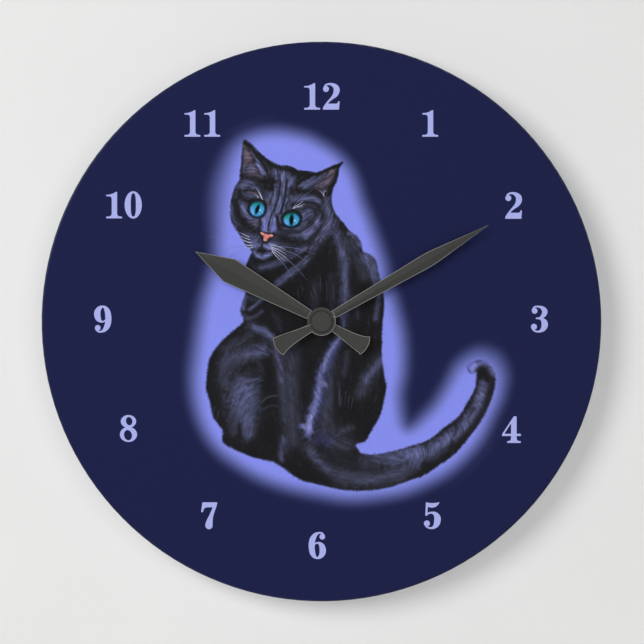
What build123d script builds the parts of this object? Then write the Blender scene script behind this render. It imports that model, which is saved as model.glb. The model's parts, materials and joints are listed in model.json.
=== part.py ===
from build123d import *
from math import acos, cos, pi, radians, sin, tan
import os

os.makedirs("parts", exist_ok=True)

# Every height is counted from the wall towards the room, every (x, z) spot from the hand axis.
# The origin is the centre of the hanging hole on the wall plane.
hole_to_axis = 40.0
front = Plane(origin=(0, 0, -hole_to_axis), x_dir=(1, 0, 0), z_dir=(0, -1, 0))
hand_axis = (0.0, 0.0)

# Dial disc
dial_diameter = 273.05
dial_thickness = 3.2
dial_hole_r = 4.1
dial_front_round = 0.9
dial_back_round = 0.3

# Stack of heights along the hand axis
case_depth = 16.0
hanger_sheet = 1.0
rubber_thickness = 0.8
dial_h = case_depth + hanger_sheet + rubber_thickness
dial_face_h = dial_h + dial_thickness
washer_thickness = 0.5
nut_h = dial_face_h + washer_thickness
nut_thickness = 2.0
bushing_end_h = 24.2
hour_tube_end_h = 25.9
minute_tube_end_h = 28.2
arbor_end_h = 27.8

# Hands
sheet = 0.45
hub_r = 6.9
hour_turn = 299.0
hour_h = 24.9
hour_length = 70.2
hour_waist = 2.2
hour_widest = 6.2
hour_widest_at = 51.2
hour_crease = 0.07
minute_turn = 60.0
minute_h = 26.7
minute_length = 93.8
minute_waist = 1.9
minute_widest = 3.6
minute_widest_at = 61.0
minute_crease = 0.16
tail_waist = 2.1
tail_narrow = 2.5
tail_flare = 5.0
tail_length = 25.6

# Tubes of the movement
arbor_r = 0.5
minute_tube_r = 1.6
hour_tube_r = 2.5
bushing_r = 3.95
running_gap = 0.1
pivot_r = 0.3
pivot_hole_r = 0.35

# Movement case
case_size = 56.0
case_wall = 1.4
case_corner = 3.0
front_wall = 1.2
front_wall_h = case_depth - front_wall
inner = case_size / 2 - case_wall
partition_top = -10.5
partition_bottom = -11.7
cover_thickness = 1.5
screw_spots = [(-23.6, -7.6), (23.6, -7.6), (-23.6, 23.6), (23.6, 23.6)]
screw_post_r = 2.4
pilot_r = 0.85

# AA cell
cell_r = 7.25
cell_length = 49.2
nub_length = 1.3
nub_r = 2.75
cell_z = -19.15
cell_h = 7.4
contact_sheet = 0.3
contact_gap = 0.02

# Wheel train: teeth and centre distances
rotor_teeth, intermediate_teeth, intermediate_leaves = 8, 48, 8
seconds_teeth, seconds_leaves = 40, 8
third_teeth, third_leaves, centre_teeth = 64, 8, 60
cannon_leaves, motion_teeth, motion_leaves, hour_teeth = 12, 36, 10, 40
knob_leaves = 12
rotor_module, seconds_module, third_module = 0.22, 0.30, 0.25
third_distance = third_module * (third_teeth + seconds_leaves) / 2
centre_module = 2 * third_distance / (centre_teeth + third_leaves)
motion_distance = 9.0
motion_module = 2 * motion_distance / (cannon_leaves + motion_teeth)
hour_module = 2 * motion_distance / (motion_leaves + hour_teeth)
intermediate_distance = seconds_module * (seconds_teeth + intermediate_leaves) / 2
rotor_distance = rotor_module * (rotor_teeth + intermediate_teeth) / 2
knob_distance = motion_module * (motion_teeth + knob_leaves) / 2
pressure = radians(20)
tooth_share = 0.86


def along(spot, distance, degrees):
    return (spot[0] + distance * cos(radians(degrees)), spot[1] + distance * sin(radians(degrees)))


third_way, intermediate_way, motion_way, knob_way = 60.0, 150.0, 0.0, 20.0
third_spot = along(hand_axis, third_distance, third_way)
intermediate_spot = along(hand_axis, intermediate_distance, intermediate_way)
rotor_spot = along(intermediate_spot, rotor_distance, intermediate_way)
motion_spot = along(hand_axis, motion_distance, motion_way)
knob_spot = along(motion_spot, knob_distance, knob_way)


def meshed(phase, teeth, way, mate_teeth):
    """Turn of the mate's first tooth that puts it in mesh with a gear lying the given way from it."""
    return way + 180 + 180 / mate_teeth - (phase - way) * teeth / mate_teeth


third_pinion_phase = meshed(0, centre_teeth, third_way, third_leaves)
seconds_pinion_phase = meshed(0, third_teeth, third_way + 180, seconds_leaves)
intermediate_pinion_phase = meshed(0, seconds_teeth, intermediate_way, intermediate_leaves)
rotor_pinion_phase = meshed(0, intermediate_teeth, intermediate_way, rotor_teeth)
motion_wheel_phase = meshed(0, cannon_leaves, motion_way, motion_teeth)
hour_wheel_phase = meshed(0, motion_leaves, motion_way + 180, hour_teeth)
knob_pinion_phase = meshed(motion_wheel_phase, motion_teeth, knob_way, knob_leaves)


def rod(radius, low, high, spot=hand_axis, mode=Mode.ADD):
    """Cylinder standing off the wall between two heights."""
    with Locations(front.offset(low)):
        with Locations(spot):
            Cylinder(radius, high - low, align=(Align.CENTER, Align.CENTER, Align.MIN), mode=mode)


def block(x_low, x_high, z_low, z_high, low, high, mode=Mode.ADD):
    """Box between two x, two z and two heights."""
    with Locations(front.offset(low)):
        with Locations((x_low, z_low)):
            Box(x_high - x_low, z_high - z_low, high - low, align=Align.MIN, mode=mode)


def gear(teeth, module, low, high, spot, phase, addendum, dedendum):
    """Involute spur gear with thinned teeth."""
    pitch_r = module * teeth / 2
    base_r = pitch_r * cos(pressure)
    tip_r = pitch_r + addendum * module
    root_r = pitch_r - dedendum * module
    widest = pi / (2 * teeth) * tooth_share + tan(pressure) - pressure
    corners = []
    for radius in (root_r * 0.9, max(base_r, root_r), (pitch_r + tip_r) / 2, tip_r):
        slope = acos(min(1.0, base_r / radius))
        half = widest - tan(slope) + slope
        corners.append((radius * cos(half), radius * sin(half)))
    outline = [(x, -y) for x, y in corners] + corners[::-1]
    with BuildSketch(front.offset(low)) as face:
        with Locations(spot):
            Circle(root_r)
            with PolarLocations(0, teeth, start_angle=phase):
                Polygon(*outline, align=None)
    extrude(face.sketch, amount=high - low)


def wheel(teeth, module, low, high, spot=hand_axis, phase=0.0):
    gear(teeth, module, low, high, spot, phase, 0.8, 1.15)


def pinion(teeth, module, low, high, spot=hand_axis, phase=0.0):
    gear(teeth, module, low, high, spot, phase, 0.9, 1.25)


def wheel_windows(low, high, spot, ring_r, window_r, count):
    """Round lightening holes through a wheel."""
    with Locations(front.offset(low)):
        with Locations(spot):
            with PolarLocations(ring_r, count):
                Cylinder(
                    window_r,
                    high - low,
                    align=(Align.CENTER, Align.CENTER, Align.MIN),
                    mode=Mode.SUBTRACT,
                )


def pan_screw(spot, head_low, head_high, head_r, shank_r, shank_high):
    """Screw with its head towards the wall, a cross recess and a plain shank."""
    rod(head_r, head_low, head_high, spot)
    rod(shank_r, head_high, shank_high, spot)
    half_long, half_wide, deep = head_r * 0.62, head_r * 0.16, (head_high - head_low) * 0.6
    for across, up in ((half_long, half_wide), (half_wide, half_long)):
        block(
            spot[0] - across,
            spot[0] + across,
            spot[1] - up,
            spot[1] + up,
            head_low,
            head_low + deep,
            mode=Mode.SUBTRACT,
        )


def hand_plane(height, turn):
    """Plane facing the room whose x axis runs along a hand pointing at a clock angle."""
    along_hand = (sin(radians(turn)), 0, cos(radians(turn)))
    return Plane(origin=front.offset(height).origin, x_dir=along_hand, z_dir=(0, -1, 0))


def hand_section(height, turn):
    """Plane across a hand at its hub, looking along it."""
    face = hand_plane(height, turn)
    return Plane(origin=face.origin, x_dir=face.y_dir, z_dir=face.x_dir)


def hand_blank(height, turn, waist, widest, widest_at, length, crease, round_r, tail_round, hole_r):
    """Stamped hand: a blade folded along its middle, a flat hub disc and a flat flared tail."""
    with BuildSketch(hand_plane(height - 1, turn)) as blade:
        with BuildLine():
            Polyline((5, -waist), (widest_at, -widest), (length, 0), (widest_at, widest), (5, waist), close=True)
        make_face()
        shoulders = blade.vertices().group_by(Axis(front.origin, hand_plane(0, turn).x_dir))[1]
        fillet(shoulders, round_r)
    extrude(blade.sketch, amount=2)
    drop = crease * (widest + 1)
    with BuildSketch(hand_section(height, turn)) as fold:
        Polygon(
            (0, 0),
            (widest + 1, -drop),
            (widest + 1, sheet - drop),
            (0, sheet),
            (-widest - 1, sheet - drop),
            (-widest - 1, -drop),
            align=None,
        )
    extrude(fold.sketch, amount=length + 1, mode=Mode.INTERSECT)
    with BuildSketch(hand_plane(height, turn)) as flat:
        with BuildLine():
            low_side = Spline(
                (-4, -tail_waist),
                (-13, -tail_narrow),
                (-tail_length + 1.4, -tail_flare),
                tangents=((-1, 0), (-0.85, -0.5)),
            )
            end = ThreePointArc(low_side @ 1, (-tail_length, 0), (-tail_length + 1.4, tail_flare))
            high_side = Spline(
                end @ 1,
                (-13, tail_narrow),
                (-4, tail_waist),
                tangents=((0.85, -0.5), (1, 0)),
            )
            Line(high_side @ 1, low_side @ 0)
        make_face()
        corners = flat.vertices().group_by(Axis(front.origin, hand_plane(0, turn).x_dir))[0]
        fillet(corners, tail_round)
        Circle(hub_r)
        Circle(hole_r, mode=Mode.SUBTRACT)
    extrude(flat.sketch, amount=sheet)
    rod(hole_r, height - 1, height + 1, mode=Mode.SUBTRACT)


# Dial disc with a polished round edge
with BuildPart() as dial_disc:
    rod(dial_diameter / 2, dial_h, dial_face_h)
    fillet(dial_disc.edges().group_by(Axis.Y)[0], dial_front_round)
    fillet(dial_disc.edges().group_by(Axis.Y)[-1], dial_back_round)
    rod(dial_hole_r, dial_h, dial_face_h, mode=Mode.SUBTRACT)

# Hour hand and its collet
collet_gap = 0.01
hour_collet_r = 3.3
with BuildPart() as hour_hand:
    hand_blank(
        hour_h,
        hour_turn,
        hour_waist,
        hour_widest,
        hour_widest_at,
        hour_length,
        hour_crease,
        3.0,
        0.9,
        hour_collet_r + collet_gap,
    )

with BuildPart() as hour_collet:
    rod(4.2, hour_h - 0.4, hour_h)
    rod(hour_collet_r, hour_h, hour_h + sheet + 0.2)
    chamfer(hour_collet.edges().group_by(Axis.Y)[0], 0.12)
    rod(hour_tube_r + collet_gap, hour_h - 0.4, hour_h + sheet + 0.2, mode=Mode.SUBTRACT)

# Minute hand, its collet and the centre cap
minute_collet_r = 2.4
with BuildPart() as minute_hand:
    hand_blank(
        minute_h,
        minute_turn,
        minute_waist,
        minute_widest,
        minute_widest_at,
        minute_length,
        minute_crease,
        60.0,
        0.3,
        minute_collet_r + collet_gap,
    )

with BuildPart() as minute_collet:
    rod(3.4, minute_h - 0.4, minute_h)
    rod(minute_collet_r, minute_h, minute_h + sheet + 0.15)
    rod(minute_tube_r + collet_gap, minute_h - 0.4, minute_h + sheet + 0.15, mode=Mode.SUBTRACT)

cap_h = 27.35
cap_r = 5.3
cap_top_h = 29.0
with BuildPart() as centre_cap:
    rod(cap_r, cap_h, cap_top_h)
    chamfer(centre_cap.edges().group_by(Axis.Y)[0], 0.3)
    with BuildSketch(front.offset(cap_top_h - 0.15)):
        Circle(cap_r - 0.55)
        Circle(cap_r - 0.95, mode=Mode.SUBTRACT)
    extrude(amount=1, mode=Mode.SUBTRACT)
    rod(minute_tube_r + collet_gap, cap_h, minute_tube_end_h + 0.05, mode=Mode.SUBTRACT)

# Nut and washers on the threaded bushing
with BuildPart() as shaft_nut:
    with BuildSketch(front.offset(nut_h)):
        RegularPolygon(5.5, 6, major_radius=False)
        Circle(bushing_r + 0.03, mode=Mode.SUBTRACT)
    extrude(amount=nut_thickness)
    with BuildSketch(front.offset(nut_h)):
        Circle(6.0)
    extrude(amount=nut_thickness, taper=12, mode=Mode.INTERSECT)

with BuildPart() as brass_washer:
    with BuildSketch(front.offset(dial_face_h)):
        Circle(6.5)
        Circle(dial_hole_r, mode=Mode.SUBTRACT)
    extrude(amount=washer_thickness)
    chamfer(brass_washer.edges().group_by(Axis.Y)[0].sort_by(SortBy.LENGTH)[-1], 0.15)

with BuildPart() as rubber_washer:
    with BuildSketch(front.offset(case_depth + hanger_sheet)):
        Circle(9.0)
        Circle(dial_hole_r, mode=Mode.SUBTRACT)
    extrude(amount=rubber_thickness)
    fillet(rubber_washer.edges().group_by(Axis.Y)[0].sort_by(SortBy.LENGTH)[-1], 0.2)

# Hanger: flat leg behind the disc, shelf over the movement, tab on the wall with a keyhole
hanger_width = 24.0
shelf_z = 28.4
tab_top = 52.0
keyhole_r = 4.0
slot_r = 2.0
slot_rise = 6.0
hanger_front_h = case_depth + hanger_sheet
with BuildPart() as hanger_plate:
    block(-hanger_width / 2, hanger_width / 2, -14, shelf_z + hanger_sheet, case_depth, hanger_front_h)
    block(-hanger_width / 2, hanger_width / 2, shelf_z, shelf_z + hanger_sheet, 0, hanger_front_h)
    block(-hanger_width / 2, hanger_width / 2, shelf_z, tab_top, 0, hanger_sheet)
    bends = hanger_plate.edges().filter_by(Axis.X)
    outer_front = bends.group_by(Axis.Y)[0].sort_by(Axis.Z)[-1]
    inner_front = bends.filter_by_position(Axis.Y, -case_depth - 0.01, -case_depth + 0.01).sort_by(Axis.Z)[-1]
    outer_back = bends.group_by(Axis.Y)[-1].sort_by(Axis.Z)[0]
    inner_back = bends.filter_by_position(Axis.Y, -hanger_sheet - 0.01, -hanger_sheet + 0.01).sort_by(Axis.Z)[0]
    fillet([outer_front, outer_back], 1.4)
    fillet([inner_front, inner_back], 0.4)
    fillet(hanger_plate.edges().filter_by(Axis.Y).group_by(Axis.Z)[-1], 6.0)
    fillet(hanger_plate.edges().filter_by(Axis.Y).group_by(Axis.Z)[0], 3.0)
    rod(dial_hole_r, case_depth, hanger_front_h, mode=Mode.SUBTRACT)
    with BuildSketch(front):
        with Locations((0, hole_to_axis)):
            Circle(keyhole_r)
        with Locations((0, hole_to_axis + slot_rise)):
            Circle(slot_r)
        with Locations((0, hole_to_axis + slot_rise / 2)):
            Rectangle(2 * slot_r, slot_rise)
    extrude(amount=hanger_sheet, mode=Mode.SUBTRACT)

# Movement case: a tray open to the wall, with the cell bay below and the wheel bay above
motion_post_r = 0.8
bridge_screw_spots = [(-8.5, -6.5), (14.5, 8.6), (-14.0, 12.7)]
stator_screw_spots = [(-22.3, 19.2), (-6.2, 19.2)]
bridge_h = 8.3
bridge_top_h = 8.9
core_top_h = 8.8
hour_wheel_h = 12.8
with BuildPart() as movement_case:
    with BuildSketch(front):
        RectangleRounded(case_size, case_size, case_corner)
    extrude(amount=case_depth)
    fillet(movement_case.faces().sort_by(Axis.Y)[0].edges(), 0.8)
    block(-inner, inner, -inner, partition_bottom, 0, front_wall_h, mode=Mode.SUBTRACT)
    block(-inner, inner, partition_top, inner, 0, front_wall_h, mode=Mode.SUBTRACT)
    # Step that the back cover lies in
    block(-case_size, case_size, partition_top - 0.6, case_size, 0, cover_thickness, mode=Mode.SUBTRACT)
    # Saddle ribs in front of the cell, no deeper than its middle, so that it lifts out
    for rib_x in (-12, 12):
        block(rib_x - 0.6, rib_x + 0.6, -inner, partition_bottom, cell_h, front_wall_h)
    with Locations(Plane(origin=(-inner, -cell_h, cell_z - hole_to_axis), z_dir=(1, 0, 0))):
        Cylinder(cell_r + 0.1, 2 * inner, align=(Align.CENTER, Align.CENTER, Align.MIN), mode=Mode.SUBTRACT)
    # Thumb notch in the lower wall
    with Locations(Plane(origin=(0, 0, -hole_to_axis - case_size / 2), z_dir=(0, 0, 1))):
        Cylinder(8.0, case_wall, align=(Align.CENTER, Align.CENTER, Align.MIN), mode=Mode.SUBTRACT)
    # Slots that the two contact strips pass through
    block(inner - 0.5, inner, partition_bottom, partition_top, 0, 9.2, mode=Mode.SUBTRACT)
    block(-inner, -inner + 0.5, partition_bottom, partition_top, 0, 9.2, mode=Mode.SUBTRACT)
    # Screw posts
    for spot in screw_spots:
        rod(screw_post_r, cover_thickness, front_wall_h, spot)
        rod(pilot_r, cover_thickness, cover_thickness + 8, spot, mode=Mode.SUBTRACT)
    for spot in bridge_screw_spots:
        rod(1.6, bridge_top_h, front_wall_h, spot)
        rod(0.72, bridge_top_h, bridge_top_h + 4, spot, mode=Mode.SUBTRACT)
    for spot in stator_screw_spots:
        rod(1.7, core_top_h, front_wall_h, spot)
        rod(0.72, core_top_h, core_top_h + 4, spot, mode=Mode.SUBTRACT)
    # Bearings moulded on the front wall
    rod(1.5, 14.1, front_wall_h, motion_spot)
    rod(motion_post_r, 10.9, 14.1, motion_spot)
    rod(1.6, 12.9, front_wall_h, knob_spot)
    rod(0.6, 12.9, 14.5, knob_spot, mode=Mode.SUBTRACT)
    rod(1.1, 13.2, front_wall_h, third_spot)
    rod(pivot_hole_r, 13.2, 14.5, third_spot, mode=Mode.SUBTRACT)
    # Hole for the threaded bushing
    rod(bushing_r + 0.03, front_wall_h, case_depth, mode=Mode.SUBTRACT)

# Threaded bushing: a flanged barrel with the thread drawn as plain rings
thread_pitch = 0.75
thread_depth = 0.3
with BuildPart() as shaft_bushing:
    rod(5.6, front_wall_h - 0.8, front_wall_h)
    rod(bushing_r, front_wall_h, bushing_end_h)
    chamfer(shaft_bushing.edges().group_by(Axis.Y)[0], 0.25)
    for step in range(9):
        groove_h = case_depth + 1.3 + step * thread_pitch
        with BuildSketch(Plane.YZ):
            with Locations((-groove_h, -hole_to_axis + bushing_r)):
                Polygon(
                    (-thread_pitch * 0.4, 0.1),
                    (-thread_pitch * 0.4, 0),
                    (0, -thread_depth),
                    (thread_pitch * 0.4, 0),
                    (thread_pitch * 0.4, 0.1),
                    align=None,
                )
        revolve(axis=Axis((0, 0, -hole_to_axis), (0, 1, 0)), mode=Mode.SUBTRACT)
    rod(hour_tube_r + running_gap, front_wall_h - 0.8, bushing_end_h, mode=Mode.SUBTRACT)

# Back cover over the wheel bay, with the knob well and the rear bearings
well_r = 5.5
well_floor_h = 3.0
well_top_h = 3.7
knob_shaft_r = 0.8
with BuildPart() as back_cover:
    with BuildSketch(front):
        RectangleRounded(case_size, case_size, case_corner)
    extrude(amount=cover_thickness)
    block(-case_size, case_size, -case_size, partition_top - 0.5, 0, cover_thickness, mode=Mode.SUBTRACT)
    rod(well_r + 0.8, cover_thickness, well_top_h, knob_spot)
    rod(well_r, 0, well_floor_h, knob_spot, mode=Mode.SUBTRACT)
    rod(knob_shaft_r + 0.08, well_floor_h, well_top_h, knob_spot, mode=Mode.SUBTRACT)
    for spot in (hand_axis, third_spot, intermediate_spot, rotor_spot):
        rod(1.2, cover_thickness, 2.4, spot)
        rod(pivot_hole_r, 1.5, 2.4, spot, mode=Mode.SUBTRACT)
    for spot in screw_spots:
        rod(2.1, 0, 1.0, spot, mode=Mode.SUBTRACT)
        rod(1.05, 0, cover_thickness, spot, mode=Mode.SUBTRACT)
    # Shallow panel lines moulded on the outside
    for line in range(5):
        line_z = 15.0 + line * 1.6
        block(-9, 9, line_z, line_z + 0.7, 0, 0.25, mode=Mode.SUBTRACT)

with BuildPart() as cover_screws:
    for spot in screw_spots:
        pan_screw(spot, 0.15, 1.0, 1.9, 0.8, cover_thickness + 6)

# Setting knob: a knurled disc in the well, its shaft and its pinion in one moulding
knob_r = 4.9
with BuildPart() as setting_knob:
    rod(knob_r, 0.3, 2.7, knob_spot)
    with Locations(front.offset(0.3)):
        with Locations(knob_spot):
            with PolarLocations(knob_r + 0.15, 24):
                Cylinder(0.4, 2.4, align=(Align.CENTER, Align.CENTER, Align.MIN), mode=Mode.SUBTRACT)
    rod(2.4, 0.3, 1.0, knob_spot, mode=Mode.SUBTRACT)
    rod(knob_shaft_r, 2.7, 12.6, knob_spot)
    rod(0.55, 12.6, 14.3, knob_spot)
    pinion(knob_leaves, motion_module, 10.8, 12.4, knob_spot, knob_pinion_phase)

# AA cell: steel can with its positive nub, and the printed sleeve round it
cell_start = inner - contact_sheet - contact_gap - nub_length - cell_length
cell_axis = Axis((0, -cell_h, cell_z - hole_to_axis), (1, 0, 0))
sleeve_thickness = 0.15
can_r = cell_r - sleeve_thickness - 0.01
cell_plane = Plane(origin=(cell_start, -cell_h, cell_z - hole_to_axis), x_dir=(1, 0, 0), z_dir=(0, -1, 0))
with BuildPart() as battery_can:
    with BuildSketch(cell_plane):
        with BuildLine():
            Polyline(
                (0, 0),
                (0, 4.2),
                (0.25, 4.5),
                (0.25, can_r - 0.6),
                (0.85, can_r),
                (cell_length - 0.6, can_r),
                (cell_length, can_r - 0.6),
                (cell_length, can_r - 1.6),
                (cell_length - 0.35, can_r - 1.9),
                (cell_length - 0.35, nub_r + 0.6),
                (cell_length, nub_r),
                (cell_length + nub_length - 0.3, nub_r),
                (cell_length + nub_length, nub_r - 0.3),
                (cell_length + nub_length, 0),
                close=True,
            )
        make_face()
    revolve(axis=cell_axis)

with BuildPart() as battery_sleeve:
    with Locations(Plane(origin=(cell_start + 0.9, -cell_h, cell_z - hole_to_axis), z_dir=(1, 0, 0))):
        Cylinder(cell_r, cell_length - 1.6, align=(Align.CENTER, Align.CENTER, Align.MIN))
        Cylinder(
            cell_r - sleeve_thickness,
            cell_length - 1.6,
            align=(Align.CENTER, Align.CENTER, Align.MIN),
            mode=Mode.SUBTRACT,
        )

# Contacts: a plate at each end of the bay and a strip through the partition to the board
pad_low, pad_high = 2.0, 12.0
strip_low, strip_high = 6.0, 9.0
board_left = -inner + contact_sheet
board_bottom = partition_top + contact_sheet + 0.1
board_right = -10.5
with BuildPart() as positive_contact:
    block(inner - contact_sheet, inner, -25.5, partition_bottom - 0.5, pad_low, pad_high)
    block(inner - contact_sheet, inner, -25.5, board_bottom, strip_low, strip_high)
    block(-12.0, inner, board_bottom - contact_sheet, board_bottom, strip_low, strip_high)

leaf_reach = cell_start + inner - contact_gap
with BuildPart() as negative_contact:
    block(-inner, board_left, -25.5, partition_bottom - 0.5, pad_low, pad_high)
    block(-inner, board_left, -25.5, -3.0, strip_low, strip_high)
    with BuildSketch(front.offset(pad_low + 2)):
        with BuildLine():
            Polyline(
                (board_left, -24.6),
                (-inner + leaf_reach, cell_z - 1.6),
                (-inner + leaf_reach, cell_z + 1.6),
                (board_left, -13.6),
                (board_left, -14.1),
                (-inner + leaf_reach - contact_sheet, cell_z + 1.5),
                (-inner + leaf_reach - contact_sheet, cell_z - 1.5),
                (board_left, -24.1),
                close=True,
            )
        make_face()
    extrude(amount=pad_high - pad_low - 4)

# Circuit board with its chip and crystal
board_h, board_top_h = 7.0, 7.8
post_x, post_z = screw_spots[0]
with BuildPart() as circuit_board:
    block(board_left, board_right, board_bottom, 1.8, board_h, board_top_h)
    # Corner cut away round the screw post
    block(board_left, post_x + 2.7, board_bottom, post_z + 2.7, board_h, board_top_h, mode=Mode.SUBTRACT)
    fillet(circuit_board.edges().filter_by(Axis.Y).group_by(Axis.X)[-1], 0.8)

chip_spot = (-14.6, -5.0)
with BuildPart() as chip_blob:
    rod(2.9, board_h - 1.3, board_h, chip_spot)
    fillet(chip_blob.edges().group_by(Axis.Y)[-1], 1.2)

with BuildPart() as quartz_crystal:
    with Locations(Plane(origin=(-22.0, -(board_h - 1.0), -hole_to_axis - 0.2), z_dir=(1, 0, 0))):
        Cylinder(1.0, 6.0, align=(Align.CENTER, Align.CENTER, Align.MIN))
        Cylinder(0.7, 7.0, align=(Align.CENTER, Align.CENTER, Align.MIN))

# Stepping motor: stator plate, core, bobbin, winding and two screws
stator_h, stator_top_h = 6.8, 7.8
leg_left, leg_right, leg_width = -24.0, -4.5, 3.4
coil_z, coil_h = 19.2, 8.3
with BuildPart() as stator:
    block(leg_left, leg_right, rotor_spot[1] - 1.8, rotor_spot[1] + 1.8, stator_h, stator_top_h)
    block(leg_left, leg_left + leg_width, rotor_spot[1] - 1.8, 21.2, stator_h, stator_top_h)
    block(leg_right - leg_width, leg_right, rotor_spot[1] - 1.8, 21.2, stator_h, stator_top_h)
    rod(4.3, stator_h, stator_top_h, rotor_spot)
    rod(2.7, stator_h, stator_top_h, rotor_spot, mode=Mode.SUBTRACT)
    for spot in stator_screw_spots:
        rod(0.85, stator_h, stator_top_h, spot, mode=Mode.SUBTRACT)

with BuildPart() as coil_core:
    block(leg_left, leg_right, coil_z - 2.0, coil_z + 2.0, stator_top_h, core_top_h)
    for spot in stator_screw_spots:
        rod(0.85, stator_top_h, core_top_h, spot, mode=Mode.SUBTRACT)

bobbin_left, bobbin_right, bobbin_flange = -20.3, -8.1, 0.9
with BuildPart() as coil_bobbin:
    block(bobbin_left, bobbin_right, coil_z - 2.6, coil_z + 2.6, coil_h - 1.1, coil_h + 1.1)
    for left in (bobbin_left, bobbin_right - bobbin_flange):
        block(left, left + bobbin_flange, coil_z - 4.5, coil_z + 4.5, coil_h - 4.5, coil_h + 4.5)
    block(bobbin_left, bobbin_right, coil_z - 2.02, coil_z + 2.02, coil_h - 0.52, coil_h + 0.52, mode=Mode.SUBTRACT)

winding_length = bobbin_right - bobbin_left - 2 * bobbin_flange
with BuildPart() as coil_winding:
    winding_start = Plane(
        origin=(bobbin_left + bobbin_flange, -coil_h, coil_z - hole_to_axis),
        z_dir=(1, 0, 0),
    )
    with Locations(winding_start):
        Cylinder(4.1, winding_length, align=(Align.CENTER, Align.CENTER, Align.MIN))
    block(bobbin_left, bobbin_right, coil_z - 2.6, coil_z + 2.6, coil_h - 1.1, coil_h + 1.1, mode=Mode.SUBTRACT)

with BuildPart() as stator_screws:
    for spot in stator_screw_spots:
        pan_screw(spot, stator_h - 0.7, stator_h, 1.4, 0.68, core_top_h + 3)

# Rotor: a magnet on a moulded pinion
with BuildPart() as rotor_magnet:
    rod(2.2, 6.7, 8.0, rotor_spot)
    rod(0.72, 6.7, 8.0, rotor_spot, mode=Mode.SUBTRACT)

with BuildPart() as rotor_pinion:
    pinion(rotor_teeth, rotor_module, 4.6, 6.4, rotor_spot, rotor_pinion_phase)
    rod(pivot_r, 1.7, 8.8, rotor_spot)
    rod(0.45, 2.7, 4.6, rotor_spot)
    rod(1.1, 6.4, 6.7, rotor_spot)
    rod(0.7, 6.7, 8.15, rotor_spot)

# Intermediate wheel
with BuildPart() as intermediate_wheel:
    wheel(intermediate_teeth, rotor_module, 5.0, 5.8, intermediate_spot)
    wheel_windows(5.0, 5.8, intermediate_spot, 3.1, 0.9, 5)
    pinion(intermediate_leaves, seconds_module, 2.7, 4.4, intermediate_spot, intermediate_pinion_phase)
    rod(0.75, 4.4, 8.1, intermediate_spot)
    rod(pivot_r, 1.7, 8.8, intermediate_spot)

# Seconds wheel with its pinion, moulded on a steel arbor
with BuildPart() as seconds_wheel:
    wheel(seconds_teeth, seconds_module, 3.0, 3.8)
    wheel_windows(3.0, 3.8, hand_axis, 3.6, 1.1, 5)
    rod(1.1, 3.8, 6.6)
    pinion(seconds_leaves, third_module, 6.6, 8.1, hand_axis, seconds_pinion_phase)
    rod(arbor_r + 0.01, 3.0, 8.1, mode=Mode.SUBTRACT)

with BuildPart() as seconds_arbor:
    rod(pivot_r, 1.7, 2.7)
    rod(arbor_r, 2.7, arbor_end_h)
    chamfer(seconds_arbor.edges().group_by(Axis.Y)[0], 0.1)

# Third wheel
with BuildPart() as third_wheel:
    wheel(third_teeth, third_module, 7.0, 7.8, third_spot)
    wheel_windows(7.0, 7.8, third_spot, 4.6, 1.4, 6)
    rod(0.8, 7.8, 9.0, third_spot)
    pinion(third_leaves, centre_module, 9.0, 10.6, third_spot, third_pinion_phase)
    rod(0.6, 2.7, 7.0, third_spot)
    rod(0.6, 10.6, 13.0, third_spot)
    rod(pivot_r, 1.7, 14.2, third_spot)

# Train bridge carrying the front pivots of the rotor and of the intermediate wheel
with BuildPart() as train_bridge:
    with BuildSketch(front.offset(bridge_h)):
        with Locations(*bridge_screw_spots, rotor_spot):
            Circle(2.2)
        make_hull()
        with Locations(*bridge_screw_spots):
            Circle(0.85, mode=Mode.SUBTRACT)
        with Locations(rotor_spot, intermediate_spot):
            Circle(pivot_hole_r, mode=Mode.SUBTRACT)
        with Locations(third_spot):
            Circle(1.6, mode=Mode.SUBTRACT)
        Circle(arbor_r + running_gap, mode=Mode.SUBTRACT)
    extrude(amount=bridge_top_h - bridge_h)

with BuildPart() as bridge_screws:
    for spot in bridge_screw_spots:
        pan_screw(spot, bridge_h - 0.65, bridge_h, 1.35, 0.68, bridge_top_h + 3)

# Centre wheel, pressed on the cannon by a dished spring: together the friction clutch
centre_h, centre_top_h = 9.5, 10.2
cannon_pinion_h = 10.8
clutch_bore_r = minute_tube_r + 0.02
with BuildPart() as centre_wheel:
    wheel(centre_teeth, centre_module, centre_h, centre_top_h)
    wheel_windows(centre_h, centre_top_h, hand_axis, 5.0, 1.5, 6)
    rod(clutch_bore_r, centre_h, centre_top_h, mode=Mode.SUBTRACT)

with BuildPart() as clutch_spring:
    with BuildSketch(Plane.YZ):
        with BuildLine():
            Polyline(
                (-centre_top_h, -hole_to_axis + 3.2),
                (-centre_top_h - 0.15, -hole_to_axis + 3.2),
                (-cannon_pinion_h, -hole_to_axis + clutch_bore_r + 0.45),
                (-cannon_pinion_h, -hole_to_axis + clutch_bore_r),
                (-cannon_pinion_h + 0.15, -hole_to_axis + clutch_bore_r),
                close=True,
            )
        make_face()
    revolve(axis=Axis((0, 0, -hole_to_axis), (0, 1, 0)))

with BuildPart() as minute_cannon:
    rod(2.1, 9.1, centre_h)
    rod(minute_tube_r, centre_h, minute_tube_end_h)
    pinion(cannon_leaves, motion_module, cannon_pinion_h, 12.4)
    rod(arbor_r + running_gap, 9.1, minute_tube_end_h, mode=Mode.SUBTRACT)

# Motion wheel turning on the post of the case
with BuildPart() as motion_wheel:
    wheel(motion_teeth, motion_module, 11.2, 12.0, motion_spot, motion_wheel_phase)
    wheel_windows(11.2, 12.0, motion_spot, 4.0, 1.3, 6)
    pinion(motion_leaves, hour_module, 12.0, 13.9, motion_spot)
    rod(motion_post_r + 0.05, 11.2, 13.9, motion_spot, mode=Mode.SUBTRACT)

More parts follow.
